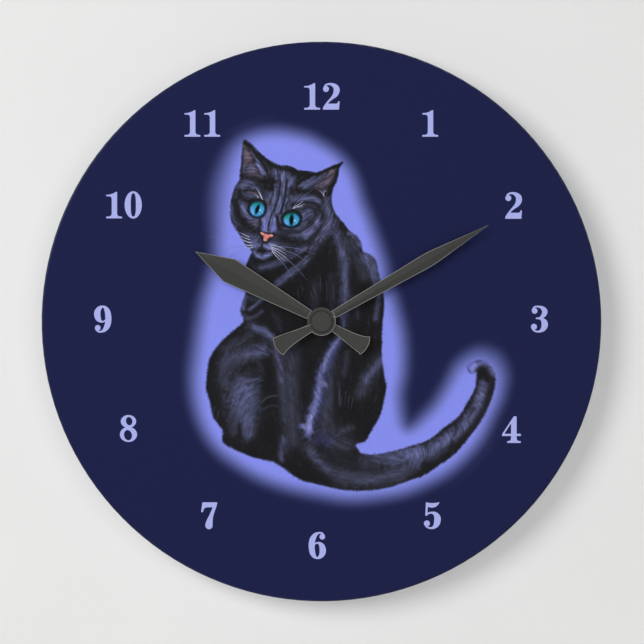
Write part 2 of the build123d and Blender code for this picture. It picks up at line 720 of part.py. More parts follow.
# Hour wheel and its tube
with BuildPart() as hour_wheel:
    wheel(hour_teeth, hour_module, hour_wheel_h, 13.6, hand_axis, hour_wheel_phase)
    wheel_windows(hour_wheel_h, 13.6, hand_axis, 4.7, 1.2, 6)
    rod(hour_tube_r, 12.6, hour_tube_end_h)
    rod(minute_tube_r + running_gap, 12.6, hour_tube_end_h, mode=Mode.SUBTRACT)

nodes = {
    "dial_disc": dial_disc,
    "hour_hand": hour_hand,
    "hour_collet": hour_collet,
    "minute_hand": minute_hand,
    "minute_collet": minute_collet,
    "centre_cap": centre_cap,
    "shaft_nut": shaft_nut,
    "brass_washer": brass_washer,
    "rubber_washer": rubber_washer,
    "hanger_plate": hanger_plate,
    "movement_case": movement_case,
    "shaft_bushing": shaft_bushing,
    "back_cover": back_cover,
    "cover_screws": cover_screws,
    "setting_knob": setting_knob,
    "battery_can": battery_can,
    "battery_sleeve": battery_sleeve,
    "positive_contact": positive_contact,
    "negative_contact": negative_contact,
    "circuit_board": circuit_board,
    "chip_blob": chip_blob,
    "quartz_crystal": quartz_crystal,
    "coil_bobbin": coil_bobbin,
    "coil_winding": coil_winding,
    "coil_core": coil_core,
    "stator": stator,
    "stator_screws": stator_screws,
    "rotor_magnet": rotor_magnet,
    "rotor_pinion": rotor_pinion,
    "intermediate_wheel": intermediate_wheel,
    "seconds_wheel": seconds_wheel,
    "seconds_arbor": seconds_arbor,
    "third_wheel": third_wheel,
    "train_bridge": train_bridge,
    "bridge_screws": bridge_screws,
    "centre_wheel": centre_wheel,
    "clutch_spring": clutch_spring,
    "minute_cannon": minute_cannon,
    "motion_wheel": motion_wheel,
    "hour_wheel": hour_wheel,
}
for name, node in nodes.items():
    node.part.label = name
    export_step(node.part, "parts/" + name + ".step")
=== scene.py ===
import json
import math

import bpy
import numpy as np
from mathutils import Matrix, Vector
from mathutils.geometry import tessellate_polygon


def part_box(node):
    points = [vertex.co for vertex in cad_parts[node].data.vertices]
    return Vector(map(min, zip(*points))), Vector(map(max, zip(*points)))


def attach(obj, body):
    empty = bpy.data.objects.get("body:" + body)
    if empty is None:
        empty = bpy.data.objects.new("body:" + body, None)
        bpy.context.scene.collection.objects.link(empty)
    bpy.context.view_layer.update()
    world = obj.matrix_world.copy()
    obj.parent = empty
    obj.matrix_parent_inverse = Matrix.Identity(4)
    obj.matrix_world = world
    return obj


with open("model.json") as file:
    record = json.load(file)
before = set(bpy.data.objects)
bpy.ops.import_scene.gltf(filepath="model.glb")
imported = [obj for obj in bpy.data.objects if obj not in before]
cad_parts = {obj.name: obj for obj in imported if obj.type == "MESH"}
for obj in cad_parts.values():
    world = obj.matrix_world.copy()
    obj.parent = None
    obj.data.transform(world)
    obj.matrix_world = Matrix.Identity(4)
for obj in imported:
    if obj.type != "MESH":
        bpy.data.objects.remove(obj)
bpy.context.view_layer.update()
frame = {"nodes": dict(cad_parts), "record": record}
nodes = frame["nodes"]
slot_of = {part["node"]: part["material_slot"] for part in frame["record"]["subparts"]}
MM = 0.001

# The dial: its centre is the hand axis, and its printed face looks along -Y.
disc_low, disc_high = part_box("dial_disc")
axis_x = 0.5 * (disc_low.x + disc_high.x)
axis_z = 0.5 * (disc_low.z + disc_high.z)
face_y = disc_low.y
disc_radius = 0.5 * (disc_high.x - disc_low.x)

# Printed layers: underside and top, in mm above the dial's face.
GROUND_LAYER, BODY_LAYER, HEAD_LAYER = (0.0, 0.04), (0.02, 0.07), (0.03, 0.10)
NUMERAL_LAYER = (0.02, 0.07)
PRINT_SPECULAR = 0.02                       # the ink is nearly without gloss
NUMERAL_COLOUR = (172, 178, 236)            # colours are display values, 0 to 255

# The navy ground: rings in mm from the hand axis, closer together where the halo lies.
GROUND_RINGS = np.concatenate([[4.5], np.arange(6.0, 100.0, 1.4), np.arange(101.0, 135.0, 4.0),
                               [135.7]])
GROUND_TURNS = 384

# The painted picture, in mm from the hand axis.
GRID = 0.2                                  # between its points
LEFT, RIGHT, LOW, HIGH = -64.0, 94.0, -90.0, 96.0
HALO_GRID, HALO_MARGIN, HALO_REACH = 1.0, 6.0, 11.0
HALO_SOFTNESS = 6.2                         # from the middle of the halo's edge, each way
HALO_TINT = np.array([24.0, 26.0, 4.0])     # added halfway through the halo's edge
PLATE_MARGIN = 1.6                          # of halo that the cat's plates carry round the cat
HEAD_RIGHT, HEAD_LOW = 14.0, 27.0           # where the finer plate of the head ends
PLATE_OVERLAP = 0.6                         # of the body's plate under the head's
SHORT_HAIRS_ABOVE = 30.0                    # the head's outline has shorter hairs
HAIR_ROOT = 0.8                             # from the outline inwards to a hair's root
OUTLINE_REACH = 3.0                         # distances to an outline are cut off at this
LIE_STEP = 8                                # points of the picture to one of the fur's lie
FINE_STROKE, FINE_PULL = 1.4, 0.35          # strokes thinner than this steer the fur, and how hard
SEED = 12                                   # of the noise and the hairs

# Painted highlights along the hands' cut edges, lighter lines that stand in for light caught by
# the edges; in metres.
RIM_WIDTH, RIM_LIFT = 0.00028, 0.00003
CLOSEST_CORNERS = 0.00005                   # nearer corners of an outline count as one
FEWEST_CORNERS = 8                          # a loop with fewer is too small to carry an edge
LONGEST_MITRE = 2.2                         # reach of a sharp corner, over the width
FRONT_NORMAL = -0.4                         # a face whose normal's Y is below this is a front

# Wall, floor, lamps and camera, in metres; lamps from the middle of the dial: place, size, watts.
WALL_COLOUR, FLOOR_COLOUR = (237, 236, 235), (226, 225, 222)
WALL_Y, WALL_SIDE, WALL_TOP = 0.0006, 1.6, 1.4
FLOOR_Z, FLOOR_SIDE, FLOOR_FRONT, FLOOR_BACK = -1.1, 3.0, -4.0, 3.0006
LAMPS = {
    "key": ((-1.0, -1.7, 0.5), 1.1, 19.6),
    "fill": ((0.55, -2.3, 0.05), 1.8, 12.0),
    "back_key": ((-1.1, 1.6, 0.9), 1.2, 9.0),
    "back_fill": ((1.2, 1.8, 0.2), 1.6, 5.0),
}
WORLD_COLOUR, WORLD_STRENGTH = (0.95, 0.97, 1.0, 1.0), 0.34
LENS_MM, SENSOR_MM, CLIP_END = 150.0, 36.0, 20.0
FRAME_POINTS, DISC_POINTS = 644.0, 560.0    # the disc's width in the picture's points


# ---------------------------------------------------------------- print: curves and fields
def curve_through(points, closed=False, steps=6):
    """Points of a smooth Catmull-Rom curve through the given points."""
    p = np.array(points, float)
    if len(p) < 3 and not closed:
        t = np.linspace(0.0, 1.0, steps + 1)[:, None]
        return p[0] * (1 - t) + p[-1] * t
    if closed:
        p = np.vstack([p[-1], p, p[0], p[1]])
    else:
        p = np.vstack([2 * p[0] - p[1], p, 2 * p[-1] - p[-2]])
    t = np.linspace(0.0, 1.0, steps, endpoint=False)[:, None]
    spans = []
    for a, b, c, d in zip(p[:-3], p[1:-2], p[2:-1], p[3:]):
        spans.append(0.5 * (2 * b + (c - a) * t + (2 * a - 5 * b + 4 * c - d) * t**2
                            + (3 * b - a - 3 * c + d) * t**3))
    if not closed:
        spans.append(p[-2:-1])
    return np.vstack(spans)


def square_gap(x, z, a, b):
    """Squared distance from every (x, z) to the straight line between two points."""
    ux, uz = b[0] - a[0], b[1] - a[1]
    t = ((x - a[0]) * ux + (z - a[1]) * uz) / max(ux * ux + uz * uz, 1e-9)
    t = np.clip(t, 0.0, 1.0)
    return (x - a[0] - t * ux) ** 2 + (z - a[1] - t * uz) ** 2


def distance_to(x, z, path):
    """Distance from every (x, z) to an open line through the points of path."""
    gaps = [square_gap(x, z, a, b) for a, b in zip(path[:-1], path[1:])]
    return np.sqrt(np.minimum.reduce(gaps))


def window(x, z, path, reach):
    """Slices of a regular grid that hold everything within reach of the path."""
    columns = np.searchsorted(x[0], [path[:, 0].min() - reach, path[:, 0].max() + reach])
    rows = np.searchsorted(z[:, 0], [path[:, 1].min() - reach, path[:, 1].max() + reach])
    return slice(*rows), slice(*columns)


def inside_field(x, z, loop, reach):
    """Signed distance to a closed outline on a regular grid, negative inside, cut off at reach."""
    loop = np.vstack([loop, loop[:1]])
    inside = np.zeros(x.shape, bool)
    square = np.full(x.shape, reach**2)
    for a, b in zip(loop[:-1], loop[1:]):
        near = window(x, z, np.array([a, b]), reach)
        square[near] = np.minimum(square[near], square_gap(x[near], z[near], a, b))
        low, high = np.searchsorted(z[:, 0], sorted((a[1], b[1])))
        ux, uz = b - a
        side = a[0] + (z[low:high, 0] - a[1]) * ux / (uz if uz else 1.0)
        inside[low:high] ^= x[low:high] < side[:, None]
    return np.where(inside, -1.0, 1.0) * np.sqrt(square)


def fade(value, start, end):
    """0 up to start and 1 from end on, easing in between."""
    t = np.clip((value - start) / (end - start), 0.0, 1.0)
    return t * t * (3.0 - 2.0 * t)


def blur(values, times):
    """A grid smoothed with its neighbours, the given number of times."""
    for _ in range(times):
        for axis in (0, 1):
            values = (0.25 * np.roll(values, 1, axis) + 0.5 * values
                      + 0.25 * np.roll(values, -1, axis))
    return values


def full_range(noise):
    """Noise stretched to fill 0 to 1."""
    return np.clip(0.5 + (noise - noise.mean()) / (4.0 * noise.std()), 0.0, 1.0)


def turned(x, z, centre, tilt):
    """Places as seen from a centre, on axes tilted by some degrees."""
    c, s = math.cos(math.radians(tilt)), math.sin(math.radians(tilt))
    return (x - centre[0]) * c + (z - centre[1]) * s, (z - centre[1]) * c - (x - centre[0]) * s


# Colours of the print, 0 to 255.
PAINTS = {
    "ink": (29, 29, 31), "coal": (39, 39, 48), "slate": (58, 60, 76), "fur": (80, 83, 116),
    "violet": (98, 102, 146), "periwinkle": (120, 125, 186), "lilac": (158, 161, 214),
    "indigo": (56, 58, 100), "mauve": (88, 79, 97), "rust": (106, 78, 86), "sage": (84, 88, 98),
    "navy": (30, 34, 72), "hyacinth": (88, 90, 176), "glow": (136, 144, 239),
    "coral": (218, 120, 116), "peach": (236, 170, 150), "pink": (232, 142, 146),
    "iris_rim": (16, 52, 84), "iris": (38, 122, 178), "iris_ray": (84, 178, 226),
    "iris_pale": (146, 216, 244), "iris_side": (140, 206, 246), "iris_blue": (112, 176, 246),
    "iris_green": (30, 142, 112), "lid_shade": (20, 60, 70), "pupil_rim": (8, 70, 78),
    "pupil": (8, 16, 20), "glint": (206, 244, 248),
}

# Middle of the halo's edge, in mm from the hand axis.
HALO = [(-14.9, 92.3), (-4.8, 89.4), (5.6, 83.3), (11, 78.5), (15.1, 72.7), (17.8, 65.7),
        (19.8, 58.8), (22.8, 51.3), (26.3, 42), (30.6, 29.2), (34.3, 15.1), (37.4, 4.4),
        (39.7, -5.6), (40.5, -15.2), (40.2, -25), (38.4, -37.4), (41.7, -51.7), (53, -42.9),
        (60.5, -31.9), (65.9, -22.1), (72.4, -16.9), (78.2, -15.5), (85.1, -18.8), (88.7, -26.7),
        (87.6, -36.2), (84.3, -44.3), (78.8, -55.9), (73.3, -63.3), (65.6, -70.8), (57.4, -76.3),
        (43.2, -82.7), (30.5, -85.6), (13.2, -87), (-5, -84.1), (-17.9, -81), (-30.2, -76.5),
        (-41.4, -70), (-51.5, -61.9), (-58.5, -50.9), (-62.3, -37.9), (-63, -26.1), (-61.7, -14),
        (-60, -2.1), (-57.7, 10.5), (-54.6, 21.1), (-52, 32), (-51.2, 43.5), (-51.2, 51.2),
        (-50.8, 58.8), (-49.8, 66.3), (-47.7, 73.9), (-44.3, 82.1), (-39.2, 88.4), (-31.4, 92),
        (-23.1, 93.1)]

# Where the halo's edge is softer: place, reach in mm, and mm more each way.
SOFT_SPOTS = [((-50, 64), 24, 3.6), ((83, -19), 14, 3.2), ((-64, -12), 36, 1.2),
              ((38, 10), 50, 0.5)]

# Outline of the cat, in mm from the hand axis.
CAT = [(-37.8, 88.3), (-34.3, 86.6), (-31.8, 84.1), (-29.3, 81.6), (-26.4, 79.2), (-23.1, 77.2),
       (-20.2, 76.1), (-16.8, 75.9), (-13.5, 74.9), (-11.4, 73.6), (-8.5, 73.4), (-5.2, 73),
       (-2.7, 72.5), (-0.2, 73.4), (3.2, 74.9), (6.5, 76.4), (10.2, 77.5), (8.6, 74.5),
       (8.2, 71.2), (7.3, 68.3), (5.7, 65.3), (5, 62.6), (4.8, 60.4), (5.2, 56.8), (6.3, 53.7),
       (8.5, 50.3), (11.1, 47.4), (13.4, 44.2), (16.8, 42), (19, 38.7), (20.1, 34.2), (23.4, 32.6),
       (26.2, 29.8), (27.3, 25.3), (28.7, 19.8), (30.1, 13.1), (30.4, 7.6), (29.8, 2), (29.4, -10),
       (29.4, -17.6), (30.9, -28.2), (31.5, -33), (29.5, -42.5), (27.1, -48.3), (23.5, -54.7),
       (21.2, -58.2), (16.5, -60), (17.5, -62), (19.4, -64.4), (24.4, -65), (30.6, -64.2),
       (35, -63.3), (40, -61.9), (45.6, -60), (51.1, -58.3), (56.1, -55), (58.9, -52.5),
       (63.3, -49.4), (67.2, -46.1), (70, -41.7), (72.8, -36.7), (75, -32.2), (75.6, -27.8),
       (75.3, -25), (72.8, -25.3), (71.1, -23.3), (71.7, -21.1), (74.4, -19.4), (77.8, -18.6),
       (81.1, -20), (83.9, -23.9), (84.7, -28.3), (83.9, -33.9), (82.2, -39.4), (79.4, -45.6),
       (75.6, -51.7), (70, -58.9), (65, -64.4), (57.9, -69.6), (49.6, -75.1), (44.2, -77),
       (35, -80.3), (24.4, -82.2), (15.6, -82.5), (4.7, -81), (-4.1, -78.8), (-10, -77.1),
       (-15.3, -73.9), (-20, -70.4), (-23.5, -68.4), (-29.4, -67.2), (-36.5, -65), (-44.7, -61.2),
       (-48.2, -58.2), (-48.2, -52.9), (-52.4, -47), (-54.2, -40.4), (-56.1, -32.8),
       (-55.5, -23.5), (-54.1, -17.1), (-49.4, -10.6), (-44.1, -5.3), (-38.2, -0.2), (-39.1, 4.2),
       (-39.1, 7.6), (-36.8, 13.7), (-37, 20), (-36.8, 27), (-34.9, 31.4), (-33.9, 33.7),
       (-34.8, 35.3), (-37.2, 37.6), (-38.4, 40), (-39.8, 42), (-41.4, 44.5), (-43.1, 47.1),
       (-44.3, 50.4), (-44.5, 54.5), (-44.3, 57.4), (-43.1, 62.8), (-41.8, 66.2), (-39.8, 69.3),
       (-39.8, 72), (-39.1, 78.2), (-38.7, 83.7)]

# Soft brush strokes in painting order: paint, strength, half width in mm, path in mm.
FUR_STROKES = [
    # head: the mass of the face, forehead stripes and crown
    ("slate", 0.95, 9, [(-36, 50), (-32, 62), (-21, 65), (-12, 58), (-5, 48)]),
    ("slate", 0.9, 7, [(-30, 38), (-22, 40), (-9, 42), (0, 50)]),
    ("fur", 0.85, 5.2, [(-25.6, 46), (-24, 54), (-21.6, 62), (-18.4, 70)]),
    ("fur", 0.6, 3.4, [(-12, 60), (-4, 60)]),
    ("fur", 0.6, 3.0, [(-40, 62), (-38, 54), (-34, 49)]),
    ("fur", 0.5, 3.4, [(-11, 42), (-3, 46), (0, 54)]),
    ("violet", 0.8, 1.5, [(-26.2, 50), (-24, 58), (-22.4, 66), (-22, 73)]),
    ("violet", 0.8, 1.1, [(-21.5, 52), (-19.8, 60), (-18.9, 68), (-18.6, 73)]),
    ("violet", 0.75, 1.3, [(-18.3, 54), (-16.6, 60), (-15.3, 67), (-12.6, 71.2)]),
    ("fur", 0.6, 2.4, [(-22.5, 72), (-18.5, 72), (-14.5, 70)]),
    ("ink", 0.8, 0.6, [(-23.2, 54), (-21, 61), (-20.2, 69)]),
    ("ink", 0.85, 0.6, [(-19.8, 53), (-18, 60), (-16.8, 69)]),
    ("ink", 0.6, 0.5, [(-25.3, 57), (-23.6, 63), (-23.2, 66)]),
    ("ink", 0.6, 0.5, [(-17.6, 55), (-15.8, 61), (-14.9, 66)]),
    ("ink", 0.85, 1.2, [(-20.5, 74.8), (-15, 73.9), (-11, 72), (-7, 71), (-3, 71.6)]),
    ("ink", 0.8, 1.6, [(-14, 72.6), (-11, 70.6)]),
    ("ink", 0.9, 1.7, [(-11.5, 67.2), (-8.3, 70.3), (-4, 71.4)]),
    ("violet", 0.6, 0.7, [(-11, 65.8), (-7, 68.2), (-3.4, 70.6)]),
    # left ear
    ("mauve", 0.95, 3.6, [(-37.2, 84), (-35.6, 77), (-33.5, 73)]),
    ("fur", 0.6, 1.6, [(-37.4, 73.6), (-34, 74.6)]),
    ("rust", 0.6, 1.0, [(-37, 81.4), (-34.6, 80.2)]),
    ("rust", 0.4, 0.6, [(-38, 77.6), (-34, 78)]),
    ("violet", 0.4, 0.5, [(-38.4, 76), (-33, 75)]),
    ("violet", 0.35, 0.5, [(-38.4, 79.6), (-35, 79)]),
    ("sage", 0.5, 0.9, [(-32.6, 83.2), (-28.4, 77.6), (-25.8, 73)]),
    ("ink", 0.85, 0.8, [(-34.6, 85), (-31.4, 81.4), (-28.6, 77.2), (-26.6, 73.4)]),
    ("violet", 0.75, 0.6, [(-34.6, 83), (-32, 79.4), (-29, 74.6), (-27.6, 71.8)]),
    ("violet", 0.7, 1.1, [(-31.4, 77.4), (-28.8, 72)]),
    ("periwinkle", 0.6, 0.6, [(-31, 76.6), (-28.4, 72)]),
    ("ink", 1, 1.3, [(-37, 87), (-35.6, 85.4)]),
    ("ink", 0.85, 0.9, [(-30.5, 81.8), (-26.6, 78), (-22.5, 75.4)]),
    ("coal", 0.7, 0.7, [(-38.2, 84), (-38.8, 78), (-39.4, 72)]),
    ("ink", 0.9, 1.3, [(-39.4, 70.4), (-36, 69.8), (-32.5, 69.8), (-29, 68)]),
    ("ink", 0.95, 2.4, [(-27, 68.5), (-24.6, 66.6), (-24, 69.4)]),
    ("ink", 0.8, 1.4, [(-31, 67), (-28, 65.2), (-25, 65)]),
    ("mauve", 0.5, 1.2, [(-33, 72.4), (-29.8, 71)]),
    # left side of the face
    ("fur", 0.85, 2.4, [(-39, 66), (-35.8, 67), (-33, 65)]),
    ("ink", 0.8, 0.9, [(-37.4, 63.6), (-34.6, 64.2), (-32, 63)]),
    ("rust", 0.6, 0.5, [(-36, 63), (-31.6, 62.4)]),
    ("fur", 0.6, 1.2, [(-37.5, 61.4), (-34, 61.6)]),
    ("ink", 0.9, 1.1, [(-40.2, 63.6), (-39, 60.2), (-36, 58.8), (-33.5, 59.4)]),
    ("violet", 0.75, 1.0, [(-38.8, 57.6), (-37.4, 53.4), (-35, 50.8), (-31.6, 49.6)]),
    ("ink", 0.85, 1.6, [(-41.6, 59), (-40.6, 52.6), (-37.8, 48.6), (-34.8, 47)]),
    ("fur", 0.7, 1.1, [(-43.8, 57), (-43.9, 51), (-41.6, 47)]),
    ("mauve", 0.5, 1.6, [(-35, 48), (-31.5, 47)]),
    ("coal", 0.7, 1.6, [(-39, 46), (-34, 45)]),
    ("rust", 0.5, 0.6, [(-27.6, 59.6), (-25.6, 57)]),
    ("coal", 0.8, 0.9, [(-27.5, 51.5), (-29.8, 48.6), (-30.6, 44.4)]),
    # nose bridge and muzzle
    ("violet", 0.8, 1.3, [(-25.6, 53), (-27, 49)]),
    ("periwinkle", 1, 2.3, [(-28.3, 49), (-28.2, 45.8)]),
    ("periwinkle", 1, 1.8, [(-23.9, 50), (-23.3, 47), (-23.4, 45.2)]),
    ("glow", 0.6, 1.0, [(-28.2, 46.8), (-28, 45.6)]),
    ("glow", 0.6, 0.9, [(-23.5, 47), (-23.4, 45.6)]),
    ("ink", 0.85, 0.45, [(-24, 53.4), (-25.3, 48.4), (-25.9, 44.4)]),
    ("ink", 0.85, 0.9, [(-21.9, 52), (-21.3, 48), (-20.4, 45.2)]),
    ("fur", 0.9, 2.6, [(-34.4, 42.6), (-32.8, 38.6)]),
    ("violet", 0.8, 1.6, [(-34.4, 38), (-31.4, 37)]),
    ("violet", 0.85, 1.9, [(-26.8, 37.4), (-23.6, 36.8), (-21, 35.6)]),
    ("periwinkle", 0.75, 0.9, [(-27.4, 36.6), (-25.6, 36), (-24.2, 35.2)]),
    ("periwinkle", 0.75, 0.8, [(-32, 37.4), (-30.6, 37)]),
    ("ink", 0.9, 0.45, [(-27.6, 38.9), (-28.9, 37.6), (-29.2, 36)]),
    ("violet", 0.8, 0.9, [(-32.8, 34.4), (-31.4, 32.4), (-28.8, 31.2), (-25.8, 32.2),
                          (-24.2, 33.4)]),
    ("periwinkle", 0.75, 1.2, [(-30.6, 32.2), (-28.8, 31.4), (-26.6, 32.2)]),
    ("ink", 0.95, 1.2, [(-30.4, 34.7), (-29.2, 34.4), (-28.2, 34.7)]),
    ("ink", 0.9, 1.0, [(-32, 29.4), (-28, 28.8), (-23.4, 30.6)]),
    ("ink", 0.6, 0.6, [(-23.4, 42.8), (-21, 41.6)]),
    # right brow and ear
    ("ink", 0.95, 2.0, [(-13.4, 63.6), (-9, 63.4), (-4, 63.2), (0, 61.4)]),
    ("violet", 0.7, 1.3, [(-12.4, 58.6), (-9, 60), (-5, 60.2), (-1.6, 58.4)]),
    ("ink", 0.8, 0.9, [(-14, 57), (-9, 58), (-4, 57.6), (-1, 56)]),
    ("violet", 0.75, 1.5, [(-8, 66), (-3, 68.4), (1.5, 72)]),
    ("mauve", 0.95, 2.6, [(5, 73), (3.6, 69.4), (0.4, 66)]),
    ("rust", 0.35, 1.0, [(5.4, 73.4), (4.6, 69)]),
    ("ink", 0.95, 0.8, [(-2.4, 71.6), (3, 74), (9, 76.8)]),
    ("ink", 0.85, 1.0, [(7.8, 73), (6.4, 68), (4, 65)]),
    ("rust", 0.5, 0.6, [(-3, 65), (-0.6, 63.6)]),
    ("violet", 0.6, 0.6, [(1, 63.4), (1.2, 61)]),
    # right cheek and jaw
    ("fur", 0.8, 2.4, [(-8.6, 50), (-6, 53), (-4, 50.5)]),
    ("violet", 0.6, 1.3, [(-8.8, 51.4), (-7, 53.4)]),
    ("ink", 0.7, 1.0, [(-6, 48), (-3, 51), (-3, 54)]),
    ("ink", 0.8, 1.5, [(-1.4, 55.4), (0.6, 51.6), (-0.4, 48)]),
    ("coal", 0.7, 1.2, [(-8.6, 55.2), (-6, 56), (-3, 54.6)]),
    ("fur", 0.7, 0.8, [(-17.4, 45.4), (-12.6, 44.8), (-9.4, 47.4)]),
    ("violet", 0.8, 1.3, [(-11, 40.2), (-6.4, 42), (-3, 46), (-1.8, 48.6)]),
    ("coal", 0.8, 1.0, [(-18, 44), (-12, 43.6), (-8, 45), (-4, 48)]),
    ("violet", 0.6, 1.6, [(-8, 43), (-4, 45), (-1, 48)]),
    ("ink", 0.75, 1.7, [(-39, 48.4), (-36, 46), (-32.6, 44)]),
    ("ink", 0.8, 1.0, [(-29.9, 49.4), (-30, 46), (-30.6, 43)]),
    ("ink", 0.85, 2.1, [(-19.4, 41), (-15, 39.4), (-9.5, 39)]),
    ("ink", 0.75, 1.4, [(-6.4, 38.6), (-2, 43.4), (0, 46)]),
    ("fur", 0.85, 1.7, [(2.8, 59.4), (4, 51), (2.2, 43.6), (-1.8, 37), (-6.8, 30.4), (-12.8, 24.8),
                        (-21.8, 18)]),
    ("violet", 0.6, 0.9, [(1.6, 46), (-3.4, 38.4), (-8, 31.6), (-14, 26.2), (-21, 19.6)]),
    ("fur", 0.8, 1.6, [(-8, 36), (-13, 33), (-19, 30), (-24, 27.6), (-30, 26)]),
    ("ink", 0.85, 1.1, [(-7, 33.6), (-13, 28.6), (-20, 25), (-29, 22.4)]),
    ("coal", 0.8, 1.2, [(-30, 24), (-33, 27), (-34, 31)]),
    # chest, back and shoulder
    ("ink", 0.8, 6, [(1, 34), (-4, 22), (-14, 12), (-24, 4)]),
    ("slate", 0.5, 2.4, [(-3, 18), (-3.6, 4)]),
    ("slate", 0.45, 1.6, [(4.6, 22), (5.6, 6)]),
    ("slate", 0.6, 3.4, [(8.6, 40), (11.4, 26), (12, 10), (11, -2)]),
    ("fur", 0.6, 2.2, [(6.4, 46), (9.6, 38), (11.4, 28), (11.6, 16), (11, 3)]),
    ("violet", 0.4, 1.0, [(6.8, 42), (10, 33), (11.4, 22), (11.6, 8)]),
    ("slate", 0.7, 3.0, [(13.6, 39), (18, 31), (20.6, 22)]),
    ("slate", 0.6, 1.2, [(15.2, 40.4), (17.4, 36)]),
    ("violet", 0.55, 1.0, [(13.4, 43), (17.2, 40.6), (18.8, 37.4)]),
    ("violet", 0.65, 1.2, [(22.6, 32), (25, 28.8), (26.4, 25)]),
    ("ink", 0.8, 1.6, [(15, 24), (16, 14), (22, 16)]),
    ("fur", 0.85, 2.2, [(21, 31), (24.4, 26), (26.8, 19.6)]),
    ("fur", 0.7, 1.3, [(28.2, 14), (27.4, 8), (26.4, 1)]),
    ("slate", 0.6, 1.4, [(16.6, 12), (17.6, 2)]),
    ("periwinkle", 0.6, 1.0, [(9.4, 4), (10.8, -2)]),
    ("slate", 0.7, 1.6, [(-37, 12), (-31, 10.6)]),
    ("violet", 0.75, 1.2, [(-37.4, 12), (-38.2, 7.4), (-37.6, 4)]),
    ("violet", 0.75, 0.9, [(-35.4, 5.6), (-31.6, 8.6), (-28.4, 11.4)]),
    ("ink", 0.8, 1.3, [(-38, 4.6), (-33, 4.4), (-28, 8)]),
    ("fur", 0.6, 1.0, [(-37, 1.6), (-33, 2.2), (-29, 5)]),
    ("slate", 0.4, 1.6, [(-23, 3), (-20, -4)]),
    # the long bright line of the spine and the grey fur on both sides of it
    ("slate", 0.8, 4.8, [(-15.6, -12), (-14.6, -36), (-14, -60)]),
    ("slate", 0.85, 4.4, [(4.6, -20), (3, -36), (2, -50), (5, -58), (12, -60)]),
    ("ink", 0.8, 2.6, [(-4, -7), (-6.4, -22), (-8, -36)]),
    ("ink", 0.6, 1.6, [(7.4, -16), (7, -32), (9, -46)]),
    ("indigo", 0.85, 2.7, [(10.4, -7), (6.4, -13), (2.4, -21.2), (-0.4, -29), (-1.6, -38),
                           (-4, -46), (-6.2, -53)]),
    ("violet", 0.75, 1.7, [(9.8, -6.5), (5.5, -13), (1.4, -21.2), (-1, -28.2), (-1.9, -37.6),
                           (-4.6, -44.7), (-6.4, -52)]),
    ("periwinkle", 0.55, 0.8, [(8.4, -8.5), (4.9, -13.6), (0.9, -21.4), (-1.4, -28.4)]),
    ("periwinkle", 0.65, 1.6, [(-1.4, -33), (-2.4, -38.4), (-4.7, -44.7), (-6.4, -51)]),
    ("violet", 0.8, 1.3, [(0.4, -29.4), (2, -31)]),
    ("periwinkle", 0.75, 1.5, [(-9, -51.2), (-5, -52.4), (-6.8, -55.6)]),
    ("lilac", 0.5, 0.8, [(-4.6, -46), (-5.8, -49.6), (-6.4, -54)]),
    ("indigo", 0.5, 3.0, [(-3, -58), (0, -56), (3, -59)]),
    ("slate", 0.85, 2.6, [(-35, -2.4), (-27.6, -5.4), (-23, -12), (-20.6, -23.5), (-19, -35.3),
                          (-17.6, -47)]),
    ("fur", 0.7, 1.3, [(-33, -2.6), (-27.4, -4.8), (-24, -7.6), (-22, -13.5), (-20, -22),
                       (-19.4, -29)]),
    ("violet", 0.6, 1.2, [(-32.6, -2.8), (-28, -4.4), (-25, -6.6)]),
    ("fur", 0.7, 1.6, [(-18.6, -57), (-19.4, -62), (-19.6, -67)]),
    # haunch
    ("ink", 0.9, 3.0, [(-42, -5), (-52, -18), (-54.4, -32), (-51, -46)]),
    ("slate", 0.7, 2.6, [(-47, -14), (-41, -10), (-35, -8.4)]),
    ("ink", 0.7, 1.2, [(-38, -11), (-31, -8.4)]),
    ("fur", 0.9, 3.4, [(-46, -20), (-41, -17), (-35, -15.4), (-28.8, -14)]),
    ("slate", 0.9, 3.6, [(-48, -28), (-46, -22), (-40, -17)]),
    ("coal", 0.7, 2.4, [(-40, -27.4), (-35, -25.4), (-30, -24)]),
    ("slate", 0.5, 1.2, [(-34, -17), (-30, -21), (-28, -25)]),
    ("slate", 0.95, 7.4, [(-39.6, -33), (-39, -40), (-37.6, -47)]),
    ("fur", 0.85, 6.0, [(-39.4, -34), (-38.6, -43)]),
    ("fur", 0.5, 3.6, [(-33, -34), (-34, -42)]),
    ("violet", 0.45, 1.0, [(-38.6, -28.4), (-34.4, -29), (-30, -27.6)]),
    ("violet", 0.3, 2.6, [(-36, -33), (-37, -39)]),
    ("fur", 0.85, 3.2, [(-36.4, -46), (-35.6, -55)]),
    ("slate", 0.85, 1.8, [(-43.4, -44), (-42.6, -54)]),
    ("ink", 0.8, 0.8, [(-40, -50), (-39.6, -57)]),
    ("ink", 0.9, 3.4, [(-25.6, -24), (-25, -40), (-28, -56), (-33, -62)]),
    ("slate", 0.6, 0.6, [(-29.4, -40), (-26.6, -37), (-21.6, -36)]),
    ("slate", 0.6, 0.5, [(-28.6, -43), (-25, -41), (-21.4, -41.4)]),
    # right flank
    ("ink", 0.8, 7, [(18, -8), (20, -30), (18, -48)]),
    ("slate", 0.6, 1.6, [(12.6, -15), (11, -26)]),
    ("slate", 0.85, 3.2, [(28.6, -19), (24, -25.6), (19, -35)]),
    ("fur", 0.7, 1.8, [(29, -19), (25, -24), (21, -29)]),
    ("slate", 0.6, 0.7, [(8.4, -30), (9, -40)]),
    ("slate", 0.7, 2.2, [(9, -53.6), (14, -52)]),
    # foot of the tail and tail
    ("ink", 0.85, 3.4, [(-12, -64), (-9, -72), (0, -78)]),
    ("slate", 0.85, 3.2, [(-6, -62), (-1, -68), (5, -73.4), (13, -77)]),
    ("fur", 0.5, 1.8, [(-5.6, -63.5), (-1.8, -68), (3, -72.4)]),
